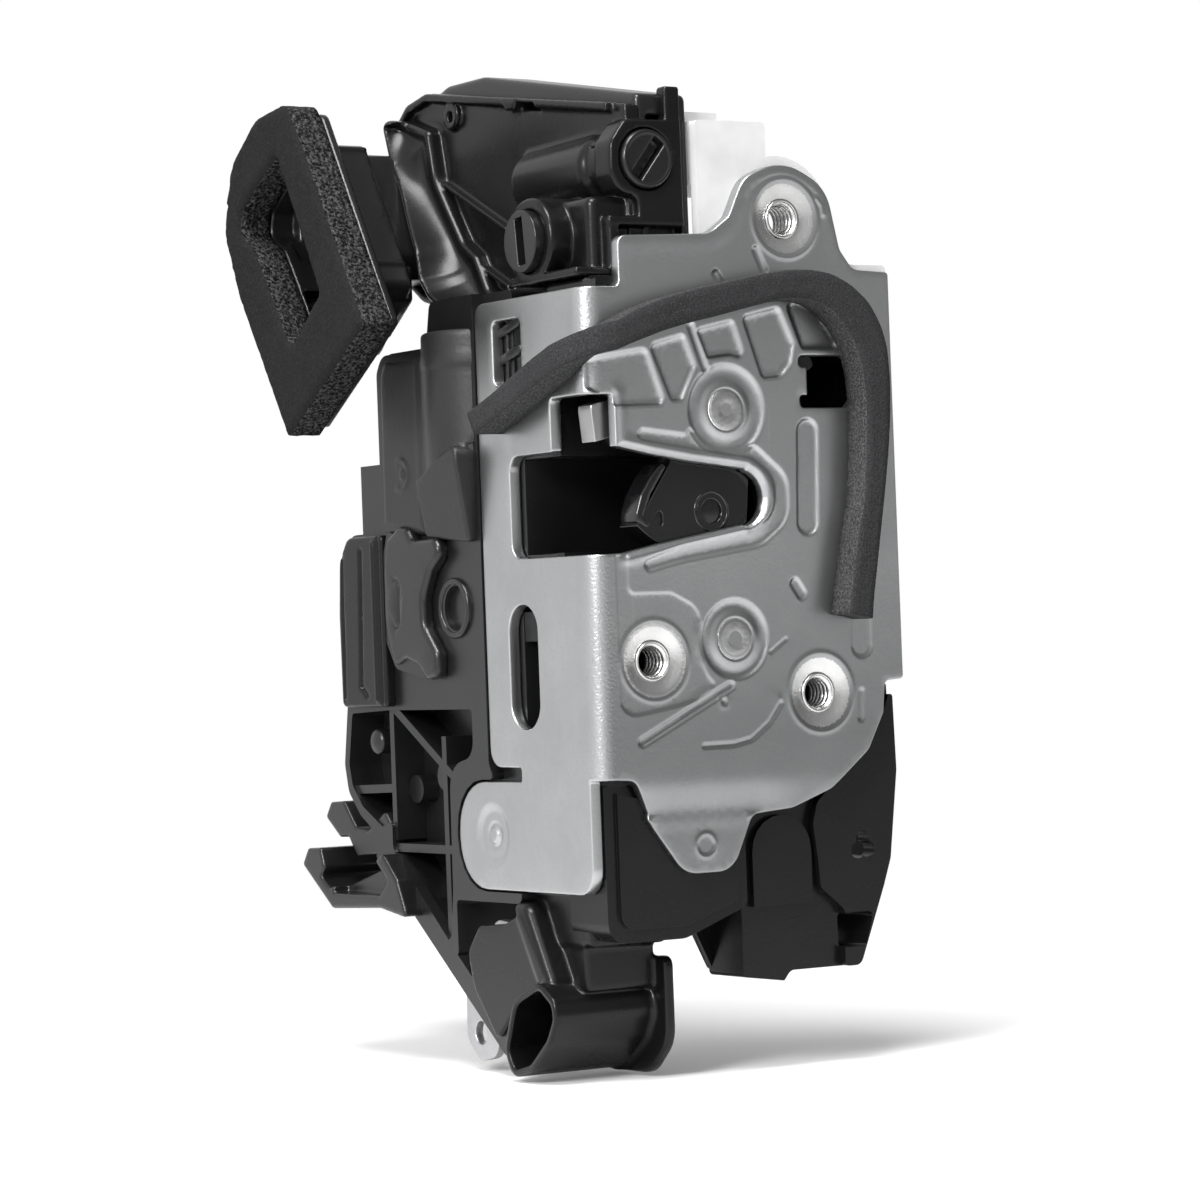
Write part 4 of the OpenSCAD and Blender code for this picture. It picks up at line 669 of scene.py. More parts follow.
def side_cover():
    """The flat cover at the housing's rear edge, with its long groove."""
    out = rounded([[80.4, -3.2, 1], [95.6, -3.2, 3], [99.4, -8, 5], [100.4, -20, 9], [100.2, -39.6, 1.5],
                   [80.4, -39.6, 1]])
    groove = [(89.8, -6.4), (90.4, -20), (91.2, -35.2), (88.9, -37.2)]

    def shape(x, y, z):
        s = slab(flat(y, z, out), x, -39.3, -36.4, 0.7)
        for a, b in zip(groove[:-1], groove[1:]):
            s = cut(s, bar(y, z, x, a, b, 0.5, -41, -38.6, 0.2), 0.5)
        s = cut(s, bar(y, z, x, (98.0, -7), (98.6, -38), 0.35, -41, -38.8, 0.1), 0.3)
        s = cut(s, bar(y, z, x, (82.2, -1), (82.2, -42), 0.3, -41, -38.9, 0.1), 0.3)
        return blend(s, bar(y, z, x, (84.0, -5), (84.0, -38), 0.5, -39.9, -38, 0.4), 0.5)

    moulded("side_panel", shape, (-40.2, 79.6, -40.4), (-36, 101.2, -2.4), 0.45, M["black_shaded"], "side_cover")


def key_funnel():
    """The short tube between the foam ring and the case, with its follower's well."""
    rim = rounded([[82.6, 86.4, 3], [54.9, 39.5, 1], [87.4, 19.8, 1], [107.0, 49.8, 19], [112.9, 64, 6], [109, 77.2, 7],
                   [97.6, 85.2, 9]])
    hole = rounded(FUNNEL_HOLE)
    notch = rounded([[95, 50, 1], [84, 38.6, 1], [87.6, 37.4, 1], [99, 52, 1]])
    tube = rounded([[86.5, 81, 3], [67.6, 48.4, 2], [85, 33.2, 4], [103.4, 57, 3], [110, 61.4, 3], [109.4, 70, 4],
                    [97.6, 77.6, 5]])
    rear = rounded([[88, 79, 2], [80.5, 64, 2], [76, 56, 2], [77, 50.6, 1], [96, 50.6, 2], [103.4, 57, 3], [109, 62, 3],
                    [108.6, 70, 4], [97.6, 77, 5]])
    foot = rounded([[70.4, 45.6, 0.8], [70.4, 53, 0.8], [88, 53, 1], [88, 38.8, 1], [80.6, 38.8, 1]])

    def shape(x, y, z):
        s = slab(flat(y, z, rim), x, -49.0, -46.9, 0.5)
        s = blend(s, slab(flat(y, z, tube), x, -48, -36.2, 0.6), 0.8)
        s = blend(s, slab(flat(y, z, foot), x, -46, -34.8, 0.5), 0.3)
        s = blend(s, slab(flat(y, z, rear), x, -40, PANEL - 1.2, 0.5), 0.6)
        for h in (53.6, 79.4):
            near, far = 68 + (h - 50) * 0.58, 84 + (h - 50) * 0.3
            s = blend(s, brick(x, y, z, (-47.5, near, h - 0.5), (-36.4, far, h + 0.5), 0.4), 0.3)
        s = cut(s, slab(flat(y, z, hole), x, -52, -43.5, 0.3), 0.4)
        s = cut(s, rod(y, z, x, FOLLOWER, -46, -20, 8.3), 0.3)
        scoops = np.minimum(np.hypot(y - 84.5, z - 53) - 4.6, np.hypot(y - 80.5, z - 47) - 3.0)
        s = cut(s, slab(scoops, x, -48, -36, 0.4), 0.5)
        s = cut(s, slab(flat(y, z, notch), x, -48, -38, 0.4), 0.4)
        return blend(s, rod(y, z, x, (90.5, 50.5), -43.2, -37, 1.7), 0.4)

    moulded("funnel_moulding", shape, (-49.4, 54, 19), (-22.8, 113.6, 87.2), 0.6, M["black"], "key_funnel")


def upper_cover():
    """The cover that closes the top moulding, its wall round the whole edge."""
    out = rounded([[5.1, 44.4, 0.5], [5.1, 81.2, 1.5], [65, 92.8, 10], [80, 92.9, 6], [97, 87.8, 7], [104.2, 77, 4],
                   [106.2, 64, 9], [98, 50.8, 8], [80, 44.6, 4]])

    def shape(x, y, z):
        d = flat(y, z, out)
        s = slab(d, x, -19.4, -7.4, 1.1)
        s = cut(s, slab(d + 8, x, -22, -9.4, 0.4), 0.4)
        s = cut(s, slab(np.abs(d + 5) - 0.4, x, -7.7, -6, 0.1), 0.3)
        for a, b in (((16, 52), (74, 86)), ((74, 52), (26, 78))):
            s = cut(s, bar(y, z, x, a, b, 0.5, -7.8, -6), 0.4)
        s = cut(s, brick(x, y, z, (-17, 0, 46.4), (-9.4, 8, 77), 0.3), 0.2)
        s = cut(s, rod(x, z, y, ROTOR, -2, 60, 7.6), 0.3)
        return cut(s, rod(y, z, x, FOLLOWER, -30, -8, 6), 0.3)

    moulded("cover_moulding", shape, (-19.8, 4.6, 44), (-6.9, 107, 93.4), 0.6, M["black"], "upper_cover")


def emergency_rotor():
    """The slotted round of the emergency lock."""
    # The slot's half width, half length and turn
    half, length, angle = 1.35, 4.7, math.radians(52)

    def shape(x, y, z):
        du, dv = x - ROTOR[0], z - ROTOR[1]
        p, q = du * math.cos(angle) + dv * math.sin(angle), -du * math.sin(angle) + dv * math.cos(angle)
        s = rod(x, z, y, ROTOR, 2.2, 15.4, 5.95, edge=0.5)
        s = blend(s, rod(x, z, y, ROTOR, 15, 41, 3.4), 0.3)
        s = cut(s, np.maximum(np.maximum(np.abs(p) - length, np.abs(q) - half), y - 4.6), 0.35)
        return blend(s, slab(np.abs(np.hypot(du, dv) - 5.3) - 0.3, y, 1.95, 3, 0.25), 0.3)

    moulded("emergency_rotor", shape, (-25.2, 1.6, 61.4), (-12.4, 41.6, 74.2), 0.35, M["case"],
            "emergency_lock_rotor", "emergency_lock")


def window_ledges():
    """Two sloping ledges behind the flange's upper window, and the small pip behind its long slot."""
    def shape(x, y, z):
        s = brick(x, y, z, (-33.6, 27, 23.5), (-32.6, 42.5, 40), 0.3)
        for a, b in (((28, 37.6), (41.6, 34.0)), ((28, 32.0), (41.6, 28.6))):
            s = blend(s, bar(y, z, x, a, b, 1.0, -35.1, -33), 0.4)
        s = blend(s, bar(y, z, x, (33.6, 24), (33.0, 39.6), 0.5, -34.6, -33), 0.3)
        return np.minimum(s, rod(y, z, x, (34.5, -42.8), -34.8, -32.2, 1.4, 1.6, 0.6))

    moulded("window_ledges", shape, (-35.4, 26.4, -45), (-32, 43, 40.4), 0.4, M["case"])


def fork_nose():
    """The rotor's skin over its leading edge, and the closed floors of its two small hollows."""
    y0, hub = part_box("fork_bolt_overmould")[0][1] / MM, (-6.3, -2.3)
    lip = rounded([[-17.2, 8.2, 1], [-20.4, 5.0, 3], [-22.9, 1.2, 3], [-24.2, -2.6, 1], [-24.2, -4.2, 0.6],
                   [-21.6, -5.8, 0.8], [-20.8, -4.8, 0.4], [-22.4, -3.2, 0.6], [-20.6, 1.0, 3], [-16.6, 6.6, 1]])

    def shape(x, y, z):
        s = slab(flat(x, z, lip), y, y0 - 0.12, y0 + 6.2, 0.6)
        ring = np.abs(np.hypot(x - hub[0], z - hub[1]) - 3.9) - 0.35
        s = np.minimum(s, slab(ring, y, y0 - 0.12, y0 + 0.7, 0.12))
        s = np.minimum(s, rod(x, z, y, hub, y0 + 0.55, y0 + 1.6, 2.9))
        return np.minimum(s, rod(x, z, y, (-18.6, -3.4), y0 + 0.55, y0 + 1.6, 3.0))

    moulded("fork_nose", shape, (-30.4, y0 - 1, -7.4), (-2, y0 + 8, 9.4), 0.3, M["gloss"], None,
            "fork")


for build in (upper_case, cable_duct, cable_clip, motor_bulge, wheel_pad, side_cover, key_funnel, upper_cover,
              emergency_rotor, window_ledges, fork_nose):
    build()


# ---------------------------------------------------------------- latch plate, as one folded sheet
# (u, v) is the sheet unrolled: u = x on the front, then the fold's arc, then the flange; v = z.
THICK = 2.5
XF = -32.75
FOLD = 4.0
ARC = FOLD * math.pi / 2
# The dished seats' radius, and the small pressed round on the lower lug
DISH, SPOT = 7.6, (-11.9, -68.7)


def fy(y):
    """u of a point of the flange at depth y."""
    return XF - ARC - (y - FOLD)


def placed(uv, h):
    """Points in space of the sheet's points, h above its outer face."""
    u, v = uv[:, 0], uv[:, 1]
    t = np.clip((XF - u) / FOLD, 0, math.pi / 2)
    nx, ny = -np.sin(t), -np.cos(t)
    x = XF - FOLD * np.sin(t)
    y = FOLD - FOLD * np.cos(t)
    front, flange = u >= XF, u <= XF - ARC
    x = np.where(front, u, x)
    y = np.where(front, 0.0, y)
    y = np.where(flange, FOLD + (XF - ARC - u), y)
    return np.stack([x + nx * h, y + ny * h, v], 1)


# The raised round on the flange's lug
LUG = (fy(42.2), -66.2)
front_outline = [[-28.2, 42.1, 1.2], [-28.2, 52.2, 2], [-6.5, 53, 6], [-1.6, 56.5, 3], [2.2, 64.4, 7], [12, 68.4, 12],
                 [22.6, 63, 9], [25.4, 50.4, 4], [28.5, 46.4, 3], [37.3, 46, 0.8],
                 [37.3, -37.3, 0.8], [32.6, -37.6, 1.5], [32, -44, 3], [28, -51.5, 5], [18.5, -59, 6], [9, -62.4, 6],
                 [-0.4, -63.2, 2], [-5.5, -74.2, 5.5], [-17, -74.2, 6], [-25.4, -63, 0.8], [-25.2, -61.6, 0.8],
                 [-28.6, -55.2, 2.5], [XF, -54.9]]
flange_part = [[fy(4), -54.9], [fy(4), -77.4, 5], [fy(55.9), -77.4, 10.5], [fy(55.9), -55.2, 10.5],
               [fy(30.1), -55.2, 0.6], [fy(30.1), -52.4, 0.6], [fy(42.2), -52.3, 4], [fy(42.2), 42.1, 3]]
outline = rounded(front_outline + flange_part, 7)
mouth_top = [[-21.8, 9.0], [-12.1, 7.45], [-4, 6.5], [0.3, 5.9]]
mouth_end = [[5.05 * math.cos(a) - 0.6, 5.6 * math.sin(a) + 0.1] for a in np.linspace(1.35, -1.35, 13)]
mouth_bottom = [[-0.7, -5.2], [-12.7, -7.3], [-21.7, -8.9], [-28.5, -10.3], [XF, -10.5]]
mouth = rounded([[-30.2, 20.9, 0.6], [-30.2, 10.7, 0.3]] + mouth_top + mouth_end + mouth_bottom
                + [[fy(30.4), -10.3, 3], [fy(30.4), 10.3, 3], [fy(13.9), 10.3, 0.6], [fy(13.9), 20.9, 1.2]], 5)
tee = rounded([[14.2, 28.7, 1], [25.7, 28.8, 2], [27.8, 26.8, 1.5], [27.8, 20.2, 2.2], [26, 18.2, 1], [14.2, 18.2, 1],
               [14.2, 20.7, 0.8], [16.1, 20.7, 0.4], [16.1, 26.4, 0.4], [14.2, 26.4, 0.8]], 4)
slot = rounded([[fy(21.9), -19.6, 5.4], [fy(33), -19.6, 5.4], [fy(33), -44.7, 5.4], [fy(21.9), -44.7, 5.4]], 10)
small_window = rounded([[fy(24.3), 38, 1.5], [fy(35.3), 38, 1.5], [fy(35.3), 25, 1.5], [fy(24.3), 25, 1.5]], 5)
BOLTS = [(12.0, 56.4), (-23.0, -31.7), (16.5, -39.4)]
holes = [mouth, tee, slot, small_window] + [circle(x, z, 4.05) for x, z in BOLTS]
# Both pivots, the radii of the rings pressed round them, and that of the groove round their heads
FORK, PAWL = (-3.9, 17.8), (-3.8, -28.0)
FORK_RING, PAWL_RING, HEAD = 9.3, 8.15, 4.1
pockets = [rounded(p, 5) for p in (
    [[-29.8, 18.3, 0.5], [-18, 18.6, 1.5], [-22.2, 30.2, 1.8], [-36.5, 28.0, 0.8], [-36.5, 22.0, 0.8]],
    [[-21.8, 30.8, 1.4], [-16.9, 19.2, 1.4], [-14.2, 19.6, 1.2], [-10.6, 26.3, 1.2], [-13.3, 33, 1.2]],
    [[-10.6, 33.9, 0.8], [-8, 27.8, 0.8], [-2.3, 28.5, 4], [1.6, 27.3, 1.4], [-1.4, 35.9, 1.2]],
    [[0.5, 36.6, 1.2], [5, 23.8, 1.5], [9.8, 24.2, 3], [12.5, 27, 2], [13.4, 31, 1.4], [9.8, 38.7, 1.6]],
    [[11.2, 39.4, 1.5], [15, 29.9, 1.2], [23.4, 30, 1.4], [24.4, 32, 1.2], [19.6, 38.2, 3], [15, 40.2, 3]])]
channel = rounded([[-24.5, 11.7, 0.5], [-7, 9, 30], [1.9, 7.8, 4], [6.9, 4.2, 5], [6.9, -2.6, 5], [1.8, -5.8, 4],
                   [-15.8, -8.8, 20], [-24.3, -11.6, 1], [-25, -12.8, 0.8], [-23.8, -14.2, 0.8], [-15.9, -12.4, 20],
                   [3.6, -9.6, 8], [10.6, -4.5, 6.5], [10.6, 4.4, 6], [2.6, 10.9, 0.8], [-3.9, 12.5],
                   [-13.2, 14.4, 0.6], [-13.6, 13, 0.8], [-24.2, 14.2, 0.9], [-25.6, 12.8, 0.9]], 6)
# Pressed lines: their points, half their width, and their depth
lines = [([[-26.6, -47.6], [-5.3, -37.2]], 1.0, 0.45), ([[26.6, -39.6], [26.2, -45]], 0.75, 0.35),
         ([[-11.6, 34.4], [-8.5, 26]], 0.85, 0.55), ([[15.6, 13.4], [14.9, -5]], 2.6, 0.55),
         ([[11.2, -17.3], [12.7, -19.4]], 1.25, 0.35), ([[4.7, 49.9], [6.7, 45.4]], 0.9, 0.4),
         ([[-5.2, 44.9], [-4.0, 43.2]], 0.9, 0.4),
         ([[-12.1, -49], [-4.9, -48.9], [-0.8, -48.1], [3.7, -44.9], [6.6, -41.2]], 0.55, 0.3),
         ([[4.6, -30.9], [8.4, -28.4]], 0.35, 0.2), ([[27.2, -24.5], [27.1, -30.2]], 2.6, 0.35),
         ([[-7.2, -40.1], [-7.0, -40.5]], 0.5, 0.25), ([[19.9, 60.7], [21.1, 59.2], [21.4, 57.4]], 0.4, -0.25)]
# Lower-lying area at the fold, round the lower left thread
low_area = rounded([[-28.3, -10.4], [-28.3, -18.1, 1.2], [-18.6, -18.1, 4], [-13, -20.9, 5], [-11.2, -24.5, 2],
                    [-10.9, -34.5, 3], [-8.8, -36.7, 0.8], [-9.6, -39, 1.5], [-14, -40.4, 4], [-21, -41.6, 6],
                    [-30.5, -43, 4], [-31.6, -40], [-31.6, -10.4]], 5)
arc_area = rounded([[7.5, -29.4, 2], [12, -27.1, 4], [16.1, -26.5, 6], [21.6, -27.4, 2], [24.2, -32, 3], [24.4, -40, 4],
                    [20, -47.5, 5], [12.5, -48, 5], [8.2, -42, 5]], 6)


def height(P):
    """Millimetres that the sheet's outer face stands proud at each point, from its embossing."""
    h = np.zeros(len(P))

    def press(d, depth, ramp, ridge=0.10):
        """Press the area where d < 0 in, with a slight ridge round it."""
        nonlocal h
        h = np.minimum(h, -depth * (1 - smooth(-ramp, 0.25, d)))
        h = h + ridge * bell(d, 0.55, 0.35)

    h += -0.22 * (1 - smooth(-0.6, 0.3, signed(P, low_area)))
    h += 0.10 * bell(signed(P, low_area), 0, 0.35)
    h += 0.16 * (1 - smooth(-1.2, 0.5, signed(P, arc_area)))
    for p in pockets:
        press(signed(P, p), 0.7, 0.95)
    press(signed(P, channel), 0.5, 0.75, 0.12)
    ring = away(P, FORK)
    press(ring - FORK_RING, 0.75, 1.3, 0.14)
    low = away(P, PAWL)
    press(low - PAWL_RING, 0.6, 1.0, 0.14)
    h += 0.13 * bell(low, 9.2, 0.3)
    for d in (ring, low):
        h += np.where(d < 6.8, 0.62 * (1 - smooth(4.4, 6.6, d)), 0)
        h -= 0.25 * bell(d, HEAD, 0.22)
    for path, half, depth in lines:
        d = distance(P, path, False) - half
        if depth > 0:
            press(d, depth, min(0.6, half), 0.07)
        else:
            h += -depth * bell(np.maximum(d + half, 0), 0, half)
    for at in BOLTS:
        d = away(P, at)
        bowl = -1.25 * (1 - smooth(3.4, DISH, d)) ** 0.8
        h = np.where(d < DISH, np.minimum(h, bowl), h)
        h += 0.16 * bell(d, 8.0, 0.45)
    # Rolled lip round the mouth, and the sheet's rounded edges
    m = signed(P, mouth)
    front = (P[:, 0] > -31).astype(float) * smooth(-31, -28, P[:, 0])
    h += front * (0.32 * bell(m, 1.5, 0.9) - 0.55 * (1 - smooth(0, 1.1, m)))
    edge = np.minimum.reduce([distance(P, outline)] + [distance(P, q) for q in holes[:4]])
    h -= 0.34 * (1 - np.sqrt(np.clip(1 - (1 - np.clip(edge / 0.42, 0, 1)) ** 2, 0, 1)))
    # The upper tab's light lip, the joggle of the lower lug, and the flange's lug
    tab = (P[:, 1] > 50).astype(float)
    h += tab * 0.12 * bell(distance(P, outline), 1.5, 0.6)
    x, z = P[:, 0], P[:, 1]
    joggle = smooth(-56.0, -62.2, z) * (x > -31.5) * (1 - smooth(2.0, 12.0, x) * 0.65)
    h -= 1.15 * joggle
    h += (x > -27) * 0.25 * bell(z, -63.4, 0.7) * (1 - smooth(-1, 3, x))
    spot, lug = away(P, SPOT), away(P, LUG)
    h += 0.16 * bell(spot, 2.3, 0.45) - 0.1 * (spot < 1.9)
    h -= 0.55 * (1 - smooth(4.6, 7.0, lug))
    h += 0.5 * (1 - smooth(1.2, 1.9, lug)) - 0.22 * bell(lug, 2.4, 0.4)
    h -= 0.10 * bell(x, fy(30.7), 0.3) * (z < -55)
    wrinkle = distance(P, [[fy(28.6), 15.4], [fy(28.4), 13], [fy(28.9), 11.2]], False)
    h += 0.22 * bell(wrinkle, 0, 0.55) * np.where(x < fy(28.7), 1, -0.8)
    return h


def build_plate():
    """The folded sheet, its points closer together where its face bends."""
    loops = [resample(outline, 0.6)] + [resample(h, 0.35 if k < 2 else 0.6) for k, h in enumerate(holes)]
    lo, hi = outline.min(0), outline.max(0)

    def grid(step):
        x, y = np.meshgrid(np.arange(lo[0], hi[0], step), np.arange(lo[1], hi[1], step))
        y = y.copy()
        y[:, 1::2] += step / 2
        return np.stack([x.ravel(), y.ravel()], 1)

    def keep(P, gap):
        ok = clear(P, outline, holes) & (distance(P, outline) > gap)
        for q in holes:
            ok[ok] &= distance(P[ok], q) > gap
        return P[ok]

    def ramps(P):
        """How far each point is from the nearest place where the face bends."""
        d = np.full(len(P), 9.0)
        for q in pockets + [channel, low_area, arc_area]:
            d = np.minimum(d, np.abs(distance(P, q)))
        for at, ring in ((FORK, FORK_RING), (PAWL, PAWL_RING)):
            for k in (ring, 5.4, HEAD):
                d = np.minimum(d, np.abs(away(P, at) - k))
        for path, half, _ in lines:
            d = np.minimum(d, np.maximum(0, np.abs(distance(P, path, False) - half)))
        for at in BOLTS:
            r = away(P, at)
            d = np.minimum(d, np.where(r < 8.6, 0.2, r - 8.4))
        d = np.minimum(d, np.abs(distance(P, mouth) - 0.9) + (P[:, 0] < -31) * 9)
        lug = away(P, LUG)
        d = np.minimum(d, np.where(lug < 7.4, 0.3, lug - 7))
        return np.minimum(d, np.where(away(P, SPOT) < 3.3, 0.3, 9))

    coarse = keep(grid(1.7), 0.7)
    coarse = coarse[ramps(coarse) > 1.5]
    mid = keep(grid(0.75), 0.45)
    r = ramps(mid)
    mid = mid[(r <= 1.9) & (r > 0.75)]
    fold = keep(grid(0.55), 0.4)
    fold = fold[(fold[:, 0] < XF + 0.6) & (fold[:, 0] > XF - ARC - 0.6)]
    fine = keep(grid(0.33), 0.25)
    fine = fine[ramps(fine) <= 0.85]
    rows = []
    for q in loops:
        t = np.roll(q, -1, 0) - np.roll(q, 1, 0)
        nrm = np.stack([-t[:, 1], t[:, 0]], 1) / np.maximum(1e-9, np.linalg.norm(t, axis=1))[:, None]
        for side in (-1, 1):
            for off in (0.09, 0.24, 0.46):
                rows.append(q + side * off * nrm)
    rows = keep(np.vstack(rows), 0.06)
    V, F = triangles(loops, np.vstack([coarse, mid, fold, fine, rows]), holes)
    area = np.cross(V[F[:, 1]] - V[F[:, 0]], V[F[:, 2]] - V[F[:, 0]])
    F = np.where((area < 0)[:, None], F[:, ::-1], F)
    F = F[np.abs(area) > 1e-9]
    used = np.unique(F)
    remap = np.full(len(V), -1)
    remap[used] = np.arange(len(used))
    V, F = V[used], remap[F]
    n = len(V)
    top, back = placed(V, height(V)), placed(V, np.full(n, -THICK))
    faces = [tuple(f[::-1]) for f in F] + [tuple(n + f) for f in F]
    # A row of points near the back keeps its smooth shading off the walls
    walls = rim(F)
    mids, extra = {}, []
    for a, b in walls:
        for i in (a, b):
            if i not in mids:
                mids[i] = 2 * n + len(extra)
                extra.append(back[i] + (placed(V[i:i + 1], np.array([0.0]))[0] - back[i]) * 0.12)
    for a, b in walls:
        faces.append((a, b, mids[b], mids[a]))
        faces.append((mids[a], mids[b], n + b, n + a))
    points = np.vstack([top, back, np.array(extra)])
    o = mesh_object("latch_plate_sheet", points, faces, [M["sheet"], M["seat"]], "latch")
    outward(o)
    # Where the material sparkles, at the fold, and where it is pitted
    me = o.data
    u = np.concatenate([V[:, 0], V[:, 0], np.zeros(len(extra))])
    fold = bell(u, XF - ARC / 2, 3.4)
    pit = np.zeros(len(u))
    for x, z, r in ((6.4, -39.6, 0.5), (4.3, -38.7, 0.28), (-18.9, -39.5, 0.22), (19.5, -58.2, 0.2), (12, -57, 0.18)):
        pit[:n] = np.maximum(pit[:n], bell(away(V, (x, z)), 0, r))
    for name, value in (("fold", fold), ("pit", pit)):
        me.attributes.new(name, "FLOAT", "POINT").data.foreach_set("value", value.astype(np.float32))
    # Brighter zinc in the dished seats
    mat = np.zeros(len(me.polygons), np.int32)
    c = np.zeros(len(me.polygons) * 3)
    me.polygons.foreach_get("center", c)
    c = c.reshape(-1, 3) / MM
    for at in BOLTS:
        mat[(away(c[:, [0, 2]], at) < 7.3) & (c[:, 1] > 0.12) & (c[:, 1] < 2.3)] = 1
    me.polygons.foreach_set("material_index", mat)
    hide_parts("latch_plate")


build_plate()


# ---------------------------------------------------------------- threads and rivet heads
def thread(name, x, z):
    """An M8 thread's inner surface, a tube whose radius follows the helix."""
    pitch, n, y0, y1 = 1.25, 72, 0.95, 8.5
    outer, depth, wall = 4.06, 0.66, 0.6
    rows = int((y1 - y0) / pitch * 12) + 1
    pts = []
    for y in (y0 + (y1 - y0) * j / (rows - 1) for j in range(rows)):
        run_in = min(1.0, max(0.0, y - y0))
        for i in range(n):
            t = (y / pitch - i / n) % 1.0
            tri = min(1.0, max(0.0, abs(t - 0.5) * 2.7 - 0.18))
            r = outer - depth * (1 - tri) * run_in
            turn = 2 * math.pi * i / n
            pts.append((x + r * math.cos(turn), y, z + r * math.sin(turn)))
    faces = [(a, d, c, b) for a, b, c, d in ring_faces(rows, n)]
    solid = mesh_object(name, pts, faces, M["seat"], "latch").modifiers.new("solid", "SOLIDIFY")
    solid.thickness = wall * MM
    solid.offset = 1.0


for k, (x, z) in enumerate(BOLTS):
    thread(f"mounting_thread_{k + 1}", x, z)


def rivet_steel():
    """Steel upset by a riveting tool, with faint rings."""
    n = Surface("riveted_face")
    cloud = n.noise(600, 4, 0.7)
    wave = n.add("TexWave", {"Vector": n.co, "Scale": 260, "Distortion": 9, "Detail": 3},
                 wave_type="RINGS", rings_direction="Y")
    tone = n.ramp(n.math("ADD", cloud, n.math("MULTIPLY", wave, 0.12)), [(0.35, 0.34), (0.75, 0.48)])
    n.put(n.p, {"Base Color": tone, "Metallic": 1.0, "Roughness": 0.44})
    n.bump(n.math("ADD", cloud, n.math("MULTIPLY", wave, 0.2)), 0.4, 0.0001)
    return n.m


def rivet_head(name, at, radius, material, n=72):
    """A turned head about the axis along Y at (x, z)."""
    profile = [(radius - 0.3, 1.6), (radius, 1.5), (radius, 0.25), (radius - 0.12, 0.08), (radius - 0.5, -0.02),
               (radius * 0.6, -0.08), (radius * 0.42, 0.0), (radius * 0.3, 0.12), (radius * 0.12, 0.16)]
    pts = [(x, y, z) for r, y in profile for x, z in circle(*at, r, n)]
    ends = [tuple(range(n)), tuple((len(profile) - 1) * n + i for i in range(n))[::-1]]
    mesh_object(name, pts, ring_faces(len(profile), n) + ends, material, "latch")


riveted = rivet_steel()
for k, (at, radius) in enumerate(((FORK, 4.0), (PAWL, 3.75))):
    rivet_head(f"rivet_head_{k + 1}", at, radius, riveted)


# ---------------------------------------------------------------- foam seal strip, on the plate and over the fold
def strip():
    """The foam bead between its outer and inner edge; its cut sides are lighter, partly from the open cells of cut foam
    and partly from painted light.
    """
    outer = [[fy(35.2), 19.8], [fy(25.2), 23.0], [fy(16.4), 26.2], [fy(8.6), 29.0], [fy(4), 30.2], [-34.6, 34.0],
             [-28.4, 37.1], [-21.3, 39.5], [-13.4, 41.4], [-5.5, 43.0], [2.6, 44.6], [8.3, 45.4], [13.6, 45.6],
             [18.9, 44.8], [23.7, 42.5], [27.7, 39.2], [30.4, 34.8], [31.9, 30.1], [32.3, 23.3],
             [32.0, 15.9], [31.2, 9.1], [30.2, 2.4], [28.8, -5.7], [27.4, -13.8], [26.2, -20.5], [25.7, -24.9]]
    inner = [[fy(32.6), 15.1], [fy(24.9), 17.4], [fy(15.5), 20.9], [fy(7.7), 23.4], [fy(4), 24.6], [-34.6, 28.4],
             [-28.7, 30.6], [-21.6, 33.0], [-15.5, 34.6], [-9.7, 35.8], [-1.7, 37.7], [4.8, 39.2], [9.7, 39.7],
             [14.5, 39.3], [18.5, 37.4], [21.7, 34.1], [24.2, 30.0], [25.5, 24.7], [26.0, 18.6], [25.7, 12],
             [25.2, 5], [24.5, -1.5], [23.0, -7.0], [21.4, -15.0], [20.3, -20.4], [19.7, -23.7]]

    def spline(p, n):
        """n points along the path, its corners eased."""
        p = np.array(p, float)
        d = np.concatenate([[0], np.cumsum(np.linalg.norm(np.diff(p, axis=0), axis=1))])
        t = np.linspace(0, d[-1], n)
        q = np.stack([np.interp(t, d, p[:, k]) for k in (0, 1)], 1)
        for _ in range(6):
            q[1:-1] = q[1:-1] * 0.5 + (q[:-2] + q[2:]) * 0.25
        return q

    n, proud, sunk = 240, 6.6, 0.2
    a, b = spline(outer, n), spline(inner, n)
    rng = np.random.default_rng(3)
    # Across the bead: the share of its width and of its height
    prof = [(0.0, 0.0), (0.0, 0.35), (-0.01, 0.75), (0.02, 0.95), (0.07, 1.0), (0.3, 1.01), (0.5, 1.0), (0.7, 1.01),
            (0.93, 1.0), (0.98, 0.95), (1.01, 0.75), (1.0, 0.35), (1.0, 0.0)]
    m = len(prof)
    pts = []
    wob = np.convolve(rng.normal(0, 1, n + 20), np.ones(9) / 9, "same")[10:10 + n] * 0.12
    for i in range(n):
        for j, (s, t) in enumerate(prof):
            uv = a[i] * (1 - s) + b[i] * s
            h = proud * t + (wob[i] if 3 < j < 9 else 0) + rng.normal(0, 0.02)
            pts.append(placed(uv[None], np.array([h - (sunk if t == 0 else 0)]))[0])
    faces, index = [], []
    for i in range(n - 1):
        for j in range(m - 1):
            faces.append((i * m + j, i * m + j + 1, (i + 1) * m + j + 1, (i + 1) * m + j))
            # The bead's top takes the foam's skin; its sides take the cut foam, lighter partly from painted light
            index.append(0 if 3 <= j <= 8 else 1)
        faces.append((i * m + m - 1, i * m, (i + 1) * m, (i + 1) * m + m - 1))
        index.append(1)
    faces.append(tuple(range(m))[::-1])
    faces.append(tuple((n - 1) * m + j for j in range(m)))
    index += [1, 1]
    o = mesh_object("seal_strip_foam", pts, faces, [M["foam"], M["foam_cut_and_lit"]], "latch", indices=index)
    outward(o)
    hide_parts("seal_strip")


strip()


